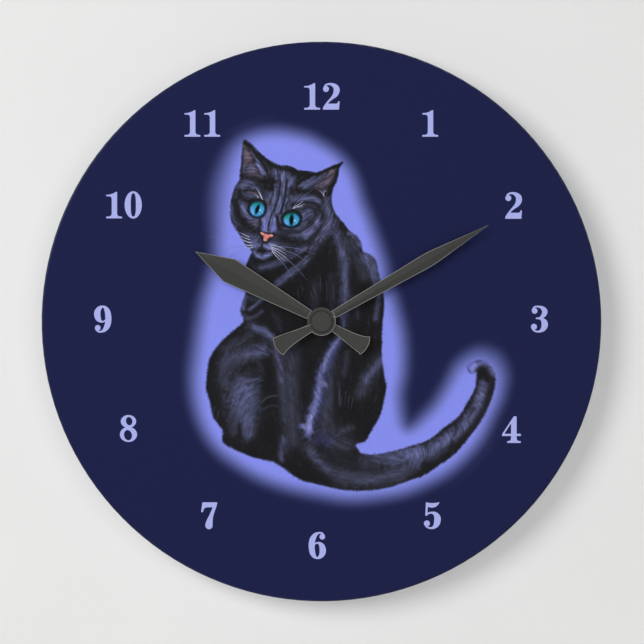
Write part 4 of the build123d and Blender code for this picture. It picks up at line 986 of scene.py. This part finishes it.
SEVEN_TOP = [(0.7, 13.55), (8.2, 13.55), (8.2, 13.1), (7.3, 11.3), (6.1, 11.05), (3.2, 11.1),
             (2.1, 10.8), (1.3, 9.9), (1.0, 8.6), (0.1, 8.6)]
SEVEN_PEN = [(7.75, 12.95, 0.4), (6.9, 11.2, 0.75), (6.0, 9.0, 0.85), (5.2, 6.8, 1.0),
             (4.5, 4.6, 1.4), (4.1, 2.8, 1.75), (4.05, 1.85, 1.8)]

GLYPHS = {
    "1": lambda x, z: area(x, z, ONE),
    "2": lambda x, z: np.minimum.reduce([pen(x, z, (1.65, 10.35, 1.48)), pen(x, z, *TWO_PEN),
                                         area(x, z, TWO_FOOT)]),
    "3": lambda x, z: np.minimum.reduce([pen(x, z, (1.95, 10.9, 1.42)), pen(x, z, *THREE_TOP),
                                         pen(x, z, *THREE_LOW), pen(x, z, (1.6, 2.9, 1.5))]),
    "4": lambda x, z: np.maximum(area(x, z, FOUR), -area(x, z, FOUR_HOLE)),
    "5": lambda x, z: np.minimum.reduce([area(x, z, FIVE_TOP), pen(x, z, *FIVE_PEN),
                                         pen(x, z, (1.5, 2.85, 1.5))]),
    "6": lambda x, z: np.minimum(pen(x, z, *SIX_PEN), pen(x, z, (6.75, 11.2, 1.4))),
    "7": lambda x, z: np.minimum(area(x, z, SEVEN_TOP), pen(x, z, *SEVEN_PEN)),
    "8": lambda x, z: np.maximum.reduce([
        np.minimum(oval(x, z, 4.3, 10.3, 3.85, 3.2), oval(x, z, 4.3, 3.75, 4.3, 3.75)),
        -oval(x, z, 4.65, 10.45, 1.6, 2.1, 12), -oval(x, z, 4.05, 3.4, 2.0, 2.6, 12)]),
    "9": lambda x, z: GLYPHS["6"](8.6 - x, 13.6 - z),
    "0": lambda x, z: np.maximum(oval(x, z, 4.3, 6.75, 4.3, 6.85),
                                 -oval(x, z, 4.35, 6.75, 1.3, 5.85, 0, 2.8)),
}
GLYPH_GRID = 0.22                           # mm between the points of a glyph's field
GLYPH_TOP = 14.7                            # mm up to which the field reaches
GLYPH_MIDDLE = 6.7                          # mm above a glyph's foot, as drawn
NUMERAL_SCALE = 0.97                        # size on the dial over size as drawn
ADVANCE = {"12": 9.3, "10": 9.3, "11": 9.95}    # mm from the first digit's left to the second's
WIDTH = {"1": 8.0, "2": 8.5, "3": 8.6, "4": 9.4, "5": 8.4, "6": 8.6, "7": 8.2, "8": 8.6, "9": 8.6,
         "10": 17.9, "11": 17.95, "12": 17.8}
# Middle of each numeral, in mm from the hand axis.
NUMERALS = {"12": (0.2, 109.8), "1": (53, 96.6), "2": (93.6, 56.6), "3": (106.2, 1.1),
            "4": (92.6, -52.7), "5": (54, -94.7), "6": (-2, -109.3), "7": (-54.8, -94.8),
            "8": (-94.1, -52.2), "9": (-106.7, 1.1), "10": (-96.3, 56.8), "11": (-58.1, 96.6)}


def numeral(text, centre, material):
    """One hour's numeral as a thin plate."""
    width = WIDTH[text]
    x, z = np.meshgrid(np.arange(-1.0, width + 1.1, GLYPH_GRID),
                       np.arange(-1.0, GLYPH_TOP, GLYPH_GRID))
    field = GLYPHS[text[0]](x, z)
    if len(text) == 2:
        field = np.minimum(field, GLYPHS[text[1]](x - ADVANCE[text], z))
    x = centre[0] + NUMERAL_SCALE * (x - 0.5 * width)
    z = centre[1] + NUMERAL_SCALE * (z - GLYPH_MIDDLE)
    field_plate("numeral_" + text, x, z, field, NUMERAL_LAYER, material)


# Printed hairs by piece: name and colour of the ink, layer, and each hair's root width and path.
HAIRS = {
    "print_white_hairs": ("white_ink", (196, 199, 226), (0.08, 0.14), [
        (0.34, [(-33.6, 37.0), (-36.4, 37.2), (-38.8, 38.4)]),
        (0.34, [(-34, 38.4), (-36.8, 39), (-39.6, 40.4)]),
        (0.3, [(-34.6, 39.8), (-37.2, 40.6), (-39.8, 41.8)]),
        (0.28, [(-35, 41.2), (-37.4, 42.2), (-39.2, 43.4)]),
        (0.3, [(-33.2, 36.2), (-35.4, 35.8), (-37.8, 36.4)]),
        (0.36, [(-25.6, 37.6), (-21.6, 36.7), (-17.2, 34.9)]),
        (0.34, [(-25, 36.6), (-21, 35), (-16.6, 32.4)]),
        (0.34, [(-24.6, 35.9), (-20.8, 33.6), (-16.2, 30.2)]),
        (0.3, [(-24.4, 35), (-21.2, 32.4), (-17.4, 29.2)]),
        (0.28, [(-24.2, 34.4), (-22, 31.8), (-19.6, 29.6)]),
        (0.34, [(-28.7, 59.3), (-29.8, 61.4), (-30.8, 63.2)]),
        (0.3, [(-30.6, 60.2), (-31.6, 61.4), (-32.8, 62)]),
        (0.22, [(-28.9, 60.2), (-30.4, 63), (-32, 65)]),
        (0.36, [(-14.1, 55.1), (-11.6, 55.8), (-8.8, 56.1)]),
        (0.3, [(-13.7, 55.5), (-11.2, 57), (-8.8, 58.8)]),
        (0.26, [(-12.8, 55.5), (-10.4, 56.4), (-8, 57.6)]),
        (0.2, [(1, 61), (1.2, 62.8), (2.4, 63.8)]),
        (0.2, [(1.2, 61.6), (0.2, 62.8), (-0.6, 63.6)]),
    ]),
    "print_whiskers": ("whisker_ink", (132, 136, 188), (0.08, 0.13), [
        (0.16, [(-35, 38.6), (-44, 41.6), (-55, 41.4)]),
        (0.16, [(-35, 37.2), (-44, 36), (-53, 32.4)]),
        (0.15, [(-35.4, 40.4), (-43, 45), (-51.6, 47.4)]),
        (0.15, [(-35, 36.4), (-42, 33.2), (-48, 29)]),
        (0.16, [(-22, 35.8), (-13, 32.8), (-7, 29)]),
        (0.15, [(-21, 33.2), (-13.4, 27.4), (-7, 20)]),
        (0.13, [(-21, 36.6), (-11, 35.4), (-3, 32.6)]),
        (0.13, [(-21.6, 32), (-17.4, 26.6), (-14, 21)]),
        (0.14, [(-29, 60.4), (-31.6, 65), (-35.4, 68.6)]),
        (0.14, [(-13.6, 56), (-9, 61), (-4, 64.4)]),
    ]),
    "print_pale_hairs": ("pale_ink", (80, 82, 104), (0.08, 0.13), [
        (0.2, [(-10, 66), (-6.4, 68.2), (-1.8, 69.8)]),
        (0.2, [(-9.8, 65.6), (-4.6, 66.6), (0.4, 69.2)]),
        (0.18, [(-9, 65.2), (-4.6, 65), (-0.4, 66.6)]),
        (0.2, [(-6, 67.6), (-1, 70.6), (3.4, 72.6)]),
        (0.2, [(-34.4, 83.4), (-32.4, 80.4), (-30, 77)]),
        (0.2, [(-33.2, 80.8), (-30.6, 76.6), (-28.2, 72)]),
        (0.2, [(-38.7, 76), (-35.4, 77.3), (-32.8, 76.4)]),
        (0.2, [(-38.9, 74), (-35.6, 74.8), (-31.8, 73.4)]),
        (0.2, [(-38.5, 78.4), (-36, 79.2), (-33.8, 78.4)]),
        (0.2, [(-38.3, 80.8), (-36.4, 81.4), (-34.8, 80.6)]),
        (0.18, [(-39, 72.6), (-36.4, 72.4), (-34, 71.4)]), (0.16, [(-11.6, 16), (-11.2, 10.6)]),
        (0.15, [(-9.2, 17), (-9.4, 13.4)]), (0.18, [(-4.6, 17), (-2.6, 13), (-1.8, 8)]),
        (0.15, [(-5.4, 15), (-4, 10)]), (0.15, [(-0.6, 22), (-0.4, 15)]),
        (0.16, [(2.4, 20), (2.8, 9)]), (0.15, [(5.8, 18), (6.4, 9)]),
        (0.16, [(4.6, 34.4), (3.2, 33)]), (0.16, [(8.8, -33), (8.2, -42)]),
        (0.15, [(12, -33.6), (11.4, -39)]), (0.15, [(13.6, -36), (13, -40.6)]),
        (0.16, [(9.8, -36.6), (9, -43)]), (0.16, [(15.4, -37), (14.2, -43.4)]),
        (0.15, [(-13, -25.4), (-13.2, -29.6)]), (0.2, [(-9.6, -54.4), (-5.4, -52.2)]),
        (0.2, [(-4.4, -57), (-8.8, -60)]), (0.2, [(-4, -54.4), (0.4, -52.6)]),
        (0.2, [(-28, -28.4), (-31.4, -29.6), (-34, -31.6)]),
        (0.18, [(-26, -36.8), (-29.6, -39.4)]), (0.18, [(-22, -36), (-27, -37)]),
        (0.15, [(-52, -41), (-52.8, -47.6)]), (0.15, [(-50, -43.6), (-51.4, -49)]),
        (0.15, [(-47.6, -36), (-49, -40)]), (0.2, [(8, -54.6), (14, -51.6)]),
        (0.2, [(6.4, -56), (11.6, -54.4)]),
    ]),
    "print_tail_hairs": ("tail_ink", (104, 107, 148), (0.06, 0.12), [
        (0.2, [(43, -63), (44, -67), (42, -71.6)]),
        (0.24, [(44.6, -62.4), (45.8, -67.4), (43.6, -73)]),
        (0.18, [(46.4, -62), (47, -65.6), (45.8, -69.4)]),
        (0.24, [(47.8, -61.6), (49, -66.8), (46.8, -72)]),
        (0.2, [(49.6, -61.4), (50.2, -65), (49, -68.6)]),
        (0.16, [(52, -60.6), (52.8, -64), (51.4, -67.6)]),
        (0.16, [(56, -57.8), (57.4, -61.6), (56.6, -65)]),
        (0.16, [(60.6, -54.6), (62.4, -58.4), (62, -61)]),
    ]),
}


# ---------------------------------------------------------------- materials
def new_material(name):
    """A material, its node tree and its main shader."""
    material = bpy.data.materials.new(name)
    material.use_nodes = True
    tree = material.node_tree
    return material, tree, tree.nodes["Principled BSDF"]


def node(tree, kind, **values):
    """A new node with some of its inputs or settings given by name."""
    made = tree.nodes.new(kind)
    for key, value in values.items():
        if key in made.inputs:
            made.inputs[key].default_value = value
        else:
            setattr(made, key, value)
    return made


def grain(tree, scale, detail=4.0, stretch=(1.0, 1.0, 1.0)):
    """Noise fixed to the object; scale is features per metre."""
    place = node(tree, "ShaderNodeTexCoord")
    mapping = node(tree, "ShaderNodeMapping", Scale=stretch)
    noise = node(tree, "ShaderNodeTexNoise", Scale=scale, Detail=detail, Roughness=0.5)
    tree.links.new(place.outputs["Object"], mapping.inputs["Vector"])
    tree.links.new(mapping.outputs["Vector"], noise.inputs["Vector"])
    return noise.outputs["Fac"]


def axis_share(tree, axis, low, high):
    """0 to 1 between two places on one axis of the object."""
    place = node(tree, "ShaderNodeTexCoord")
    parts = node(tree, "ShaderNodeSeparateXYZ")
    share = node(tree, "ShaderNodeMapRange", **{"From Min": low, "From Max": high})
    tree.links.new(place.outputs["Object"], parts.inputs["Vector"])
    tree.links.new(parts.outputs[axis], share.inputs["Value"])
    return share.outputs["Result"]


def span(tree, factor, low, high):
    """Noise stretched to run from low to high."""
    made = node(tree, "ShaderNodeMapRange",
                **{"From Min": 0.3, "From Max": 0.7, "To Min": low, "To Max": high})
    tree.links.new(factor, made.inputs["Value"])
    return made.outputs["Result"]


def ramp(tree, factor, stops):
    """Colour ramp from (position, linear colour) stops."""
    made = node(tree, "ShaderNodeValToRGB")
    elements = made.color_ramp.elements
    while len(elements) < len(stops):
        elements.new(0.5)
    for element, (position, colour) in zip(elements, stops):
        element.position = position
        element.color = (*colour, 1.0)
    tree.links.new(factor, made.inputs["Fac"])
    return made.outputs["Color"]


def mottled(tree, colour, noise, dark, light):
    """A colour made a little darker and lighter by noise."""
    shade = ramp(tree, noise, [(0.3, (dark,) * 3), (0.7, (light,) * 3)])
    mix = node(tree, "ShaderNodeMix", data_type="RGBA", blend_type="MULTIPLY", Factor=1.0)
    tree.links.new(colour, mix.inputs[6])
    tree.links.new(shade, mix.inputs[7])
    return mix.outputs[2]


def bump(tree, shader, height, strength, distance):
    """Fine relief on a shader."""
    made = node(tree, "ShaderNodeBump", Strength=strength, Distance=distance)
    tree.links.new(height, made.inputs["Height"])
    tree.links.new(made.outputs["Normal"], shader.inputs["Normal"])


def surface(name, colour, spread=0.12, roughness=(0.4, 0.55), metallic=0.0, scale=900.0,
            stretch=(1.0, 1.0, 1.0), bump_scale=2500.0, bump_strength=0.15,
            bump_distance=0.00004, specular=0.5):
    """General finish: mottled colour, varied gloss and fine relief, fixed to the object."""
    material, tree, shader = new_material(name)
    base = linear(colour)
    stops = [(0.25, base * (1.0 - spread)), (0.5, base),
             (0.75, np.minimum(base * (1.0 + spread), 1.0))]
    gloss = grain(tree, scale * 0.6, 2.0, stretch)
    tree.links.new(ramp(tree, grain(tree, scale, 5.0, stretch), stops),
                   shader.inputs["Base Color"])
    tree.links.new(span(tree, gloss, *roughness), shader.inputs["Roughness"])
    bump(tree, shader, grain(tree, bump_scale, 3.0, stretch), bump_strength, bump_distance)
    shader.inputs["Metallic"].default_value = metallic
    shader.inputs["Specular IOR Level"].default_value = specular
    return material


def flat_ink(name, colour):
    """Plain printed ink of one colour."""
    return surface(name, colour, spread=0.04, roughness=(0.36, 0.44), scale=1200.0,
                   bump_strength=0.04, specular=PRINT_SPECULAR)


def print_material(name):
    """Ink on acrylic: the painted colours, a faint mottle and a smooth satin face."""
    material, tree, shader = new_material(name)
    paint = node(tree, "ShaderNodeAttribute", attribute_name="print")
    tree.links.new(mottled(tree, paint.outputs["Color"], grain(tree, 1500.0, 2.0), 0.96, 1.04),
                   shader.inputs["Base Color"])
    tree.links.new(span(tree, grain(tree, 260.0, 3.0), 0.34, 0.42), shader.inputs["Roughness"])
    shader.inputs["Specular IOR Level"].default_value = PRINT_SPECULAR
    bump(tree, shader, grain(tree, 900.0, 2.0), 0.04, 0.00002)
    return material


def disc_material():
    """Clear-cast acrylic: navy ink over the front and its edge, a pale primer behind it."""
    material, tree, shader = new_material("printed_acrylic_disc")
    navy, edge, primer = (linear(c) for c in (PAINTS["navy"], (150, 158, 186), (214, 217, 224)))
    layers = ramp(tree, axis_share(tree, "Y", disc_low.y, disc_high.y),
                  [(0.0, navy), (0.3, navy), (0.36, edge), (0.9, edge), (0.97, primer)])
    tree.links.new(mottled(tree, layers, grain(tree, 90.0, 4.0), 0.94, 1.0),
                   shader.inputs["Base Color"])
    tree.links.new(span(tree, grain(tree, 200.0, 3.0), 0.2, 0.34), shader.inputs["Roughness"])
    shader.inputs["Specular IOR Level"].default_value = 0.15
    bump(tree, shader, grain(tree, 500.0, 3.0), 0.06, 0.00003)
    return material


def winding_material():
    """Fine copper wire wound in turns about the bobbin's long side, with painted shade between the
    turns and a painted highlight along each turn.
    """
    material, tree, shader = new_material("copper_wire")
    place = node(tree, "ShaderNodeTexCoord")
    turns = node(tree, "ShaderNodeTexWave", bands_direction="X", Scale=420.0, Distortion=1.2,
                 Detail=1.0)
    tree.links.new(place.outputs["Object"], turns.inputs["Vector"])
    # The colour runs dark to light with the same bands that raise the relief: painted shade in the
    # grooves between turns, painted highlight on their crests.
    stops = [(0.1, linear((96, 42, 22))), (0.6, linear((190, 98, 52))),
             (0.95, linear((226, 150, 98)))]
    tree.links.new(ramp(tree, turns.outputs["Fac"], stops), shader.inputs["Base Color"])
    shader.inputs["Metallic"].default_value = 0.9
    shader.inputs["Roughness"].default_value = 0.32
    bump(tree, shader, turns.outputs["Fac"], 0.7, 0.0002)
    return material


def sleeve_material():
    """Plain printed shrink sleeve of the cell: dark, with a warm band at the positive end."""
    material, tree, shader = new_material("cell_sleeve")
    low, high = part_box("battery_sleeve")
    dark, pale, warm = (linear(c) for c in ((30, 32, 38), (200, 200, 198), (176, 104, 44)))
    bands = ramp(tree, axis_share(tree, "X", low.x, high.x),
                 [(0.0, dark), (0.69, dark), (0.70, pale), (0.715, pale), (0.72, warm),
                  (1.0, warm)])
    tree.links.new(bands, shader.inputs["Base Color"])
    gloss = grain(tree, 700.0, 3.0, (0.3, 1.0, 1.0))
    tree.links.new(span(tree, gloss, 0.2, 0.34), shader.inputs["Roughness"])
    bump(tree, shader, grain(tree, 900.0, 2.0), 0.1, 0.00004)
    shader.inputs["Coat Weight"].default_value = 0.3
    return material


def stage_material(name, colour, one_sided):
    """Pale matt paint; from behind, a one-sided panel is clear."""
    material, tree, shader = new_material(name)
    base = linear(colour)
    stops = [(0.3, base * 0.985), (0.7, np.minimum(base * 1.01, 1.0))]
    tree.links.new(ramp(tree, grain(tree, 9.0, 5.0), stops), shader.inputs["Base Color"])
    shader.inputs["Roughness"].default_value = 0.9
    shader.inputs["Specular IOR Level"].default_value = 0.1
    bump(tree, shader, grain(tree, 700.0, 4.0), 0.08, 0.0002)
    if one_sided:
        geometry = node(tree, "ShaderNodeNewGeometry")
        clear = node(tree, "ShaderNodeBsdfTransparent")
        mix = node(tree, "ShaderNodeMixShader")
        output = tree.nodes["Material Output"]
        tree.links.new(geometry.outputs["Backfacing"], mix.inputs["Fac"])
        tree.links.new(shader.outputs["BSDF"], mix.inputs[1])
        tree.links.new(clear.outputs["BSDF"], mix.inputs[2])
        tree.links.new(mix.outputs["Shader"], output.inputs["Surface"])
    return material


# Finishes of the CAD pieces by material slot.
FINISH = {
    "hand_metal": dict(colour=(53, 53, 51), spread=0.05, roughness=(0.34, 0.42), metallic=0.8,
                       scale=1400.0, bump_scale=5200.0, bump_strength=0.2,
                       bump_distance=0.00001),
    "brass": dict(colour=(204, 170, 92), spread=0.12, roughness=(0.22, 0.4), metallic=1.0,
                  scale=700.0, stretch=(1.0, 6.0, 1.0), bump_strength=0.12),
    "black_rubber": dict(colour=(34, 34, 35), spread=0.2, roughness=(0.7, 0.85), scale=1500.0,
                         bump_scale=3000.0, bump_strength=0.4, specular=0.3),
    "zinc_steel": dict(colour=(178, 181, 186), spread=0.16, roughness=(0.28, 0.5), metallic=1.0,
                       scale=420.0, stretch=(1.0, 1.0, 0.25), bump_strength=0.2),
    "case_plastic": dict(colour=(40, 40, 42), spread=0.14, roughness=(0.5, 0.66), scale=500.0,
                         bump_scale=2600.0, bump_strength=0.45, bump_distance=0.00005,
                         specular=0.4),
    "screw_steel": dict(colour=(170, 172, 176), spread=0.15, roughness=(0.25, 0.42), metallic=1.0,
                        scale=1500.0, bump_strength=0.15),
    "knob_plastic": dict(colour=(52, 52, 55), spread=0.12, roughness=(0.38, 0.5), scale=900.0,
                         bump_scale=3000.0, bump_strength=0.3),
    "cell_can": dict(colour=(196, 197, 200), spread=0.08, roughness=(0.22, 0.34), metallic=1.0,
                     scale=500.0, stretch=(0.3, 1.0, 1.0), bump_strength=0.1),
    "contact_steel": dict(colour=(190, 190, 186), spread=0.12, roughness=(0.25, 0.4),
                          metallic=1.0, scale=800.0, stretch=(1.0, 1.0, 0.3)),
    "board": dict(colour=(38, 98, 62), spread=0.22, roughness=(0.3, 0.42), scale=700.0,
                  bump_scale=1400.0, bump_strength=0.3),
    "epoxy": dict(colour=(24, 24, 25), spread=0.2, roughness=(0.28, 0.42), scale=900.0,
                  bump_scale=500.0, bump_strength=0.5, bump_distance=0.0002),
    "crystal_can": dict(colour=(208, 209, 212), spread=0.06, roughness=(0.12, 0.24),
                        metallic=1.0, scale=600.0, stretch=(0.3, 1.0, 1.0)),
    "bobbin_plastic": dict(colour=(226, 224, 214), spread=0.05, roughness=(0.42, 0.55),
                           scale=700.0, bump_strength=0.2),
    "motor_iron": dict(colour=(150, 151, 154), spread=0.18, roughness=(0.34, 0.52), metallic=1.0,
                       scale=900.0, stretch=(1.0, 0.3, 1.0)),
    "ferrite": dict(colour=(74, 74, 78), spread=0.3, roughness=(0.5, 0.68), scale=2600.0,
                    bump_strength=0.4),
    "wheel_plastic": dict(colour=(232, 229, 216), spread=0.04, roughness=(0.28, 0.4),
                          scale=600.0, bump_strength=0.12),
    "bridge_plastic": dict(colour=(206, 203, 192), spread=0.06, roughness=(0.4, 0.55),
                           scale=600.0, bump_strength=0.25),
    "arbor_steel": dict(colour=(186, 187, 190), spread=0.1, roughness=(0.18, 0.3), metallic=1.0,
                        scale=900.0, stretch=(1.0, 0.2, 1.0)),
}


def stage_panel(name, corners, material):
    """A flat panel behind or under the clock, which is not part of it."""
    panel = make_object(name, corners, [(0, 1, 2, 3)], material)
    return panel


def area_light(name, location, target, size, watts):
    """A round soft lamp that looks at the target."""
    lamp = bpy.data.lights.new(name, "AREA")
    lamp.shape = "DISK"
    lamp.size = size
    lamp.energy = watts
    light = bpy.data.objects.new(name, lamp)
    light.location = location
    light.rotation_euler = (target - location).to_track_quat("-Z", "Y").to_euler()
    bpy.context.scene.collection.objects.link(light)


# ---------------------------------------------------------------- the print on the dial
ink_print = print_material("printed_face")
halo = halo_field()
ground_plate(halo, ink_print)
cat_plates(halo, ink_print)
numeral_ink = flat_ink("numeral_ink", NUMERAL_COLOUR)
for text, centre in NUMERALS.items():
    numeral(text, centre, numeral_ink)
for name, (ink_name, colour, layer, hairs) in HAIRS.items():
    hair_piece(name, hairs, layer, flat_ink(ink_name, colour))

# ---------------------------------------------------------------- finishes and painted edge highlights
finishes = {slot: surface(slot, **values) for slot, values in FINISH.items()}
finishes["printed_acrylic"] = disc_material()
finishes["copper_wire"] = winding_material()
finishes["cell_sleeve"] = sleeve_material()
for name, cad_node in nodes.items():
    finish = finishes[slot_of[name]]
    if not cad_node.material_slots:
        cad_node.data.materials.append(finish)
    for material_slot in cad_node.material_slots:
        material_slot.material = finish

# The hands' edges get a lighter grey line: a painted highlight, standing in for light caught by
# the edges.
painted_edge_highlight = surface("painted_edge_highlight", (118, 118, 114), spread=0.06, roughness=(0.3, 0.42), scale=2000.0,
                   bump_strength=0.1)
rim_piece("hour_hand_rim", "hour_hand", "hour_assembly", painted_edge_highlight)
rim_piece("minute_hand_rim", "minute_hand", "minute_assembly", painted_edge_highlight)

# ---------------------------------------------------------------- wall, floor, light and camera
wall = stage_panel("wall", [(-WALL_SIDE, WALL_Y, FLOOR_Z), (WALL_SIDE, WALL_Y, FLOOR_Z),
                            (WALL_SIDE, WALL_Y, WALL_TOP), (-WALL_SIDE, WALL_Y, WALL_TOP)],
                   stage_material("pale_wall", WALL_COLOUR, one_sided=True))
wall.visible_shadow = False      # lamps behind it light the clock's back through it
stage_panel("floor", [(-FLOOR_SIDE, FLOOR_FRONT, FLOOR_Z), (FLOOR_SIDE, FLOOR_FRONT, FLOOR_Z),
                      (FLOOR_SIDE, FLOOR_BACK, FLOOR_Z), (-FLOOR_SIDE, FLOOR_BACK, FLOOR_Z)],
            stage_material("pale_floor", FLOOR_COLOUR, one_sided=False))

middle = Vector((axis_x, face_y, axis_z))
for name, (place, size, watts) in LAMPS.items():
    area_light(name, middle + Vector(place), middle, size, watts)

world = bpy.data.worlds.new("studio")
world.use_nodes = True
background = world.node_tree.nodes["Background"]
background.inputs["Color"].default_value = WORLD_COLOUR
background.inputs["Strength"].default_value = WORLD_STRENGTH
bpy.context.scene.world = world
bpy.context.scene.view_settings.view_transform = "Standard"

# Seen straight from the front by a long lens, half a point off the hand axis as in the photo.
camera_data = bpy.data.cameras.new("camera")
camera_data.lens = LENS_MM
camera_data.sensor_width = SENSOR_MM
camera_data.clip_end = CLIP_END
frame_width = 2.0 * disc_radius * FRAME_POINTS / DISC_POINTS
distance = frame_width * camera_data.lens / camera_data.sensor_width
point = frame_width / FRAME_POINTS
camera = bpy.data.objects.new("camera", camera_data)
camera.location = (axis_x + 0.5 * point, face_y - distance, axis_z - 0.5 * point)
camera.rotation_euler = (math.pi / 2.0, 0.0, 0.0)
bpy.context.scene.collection.objects.link(camera)
bpy.context.scene.camera = camera
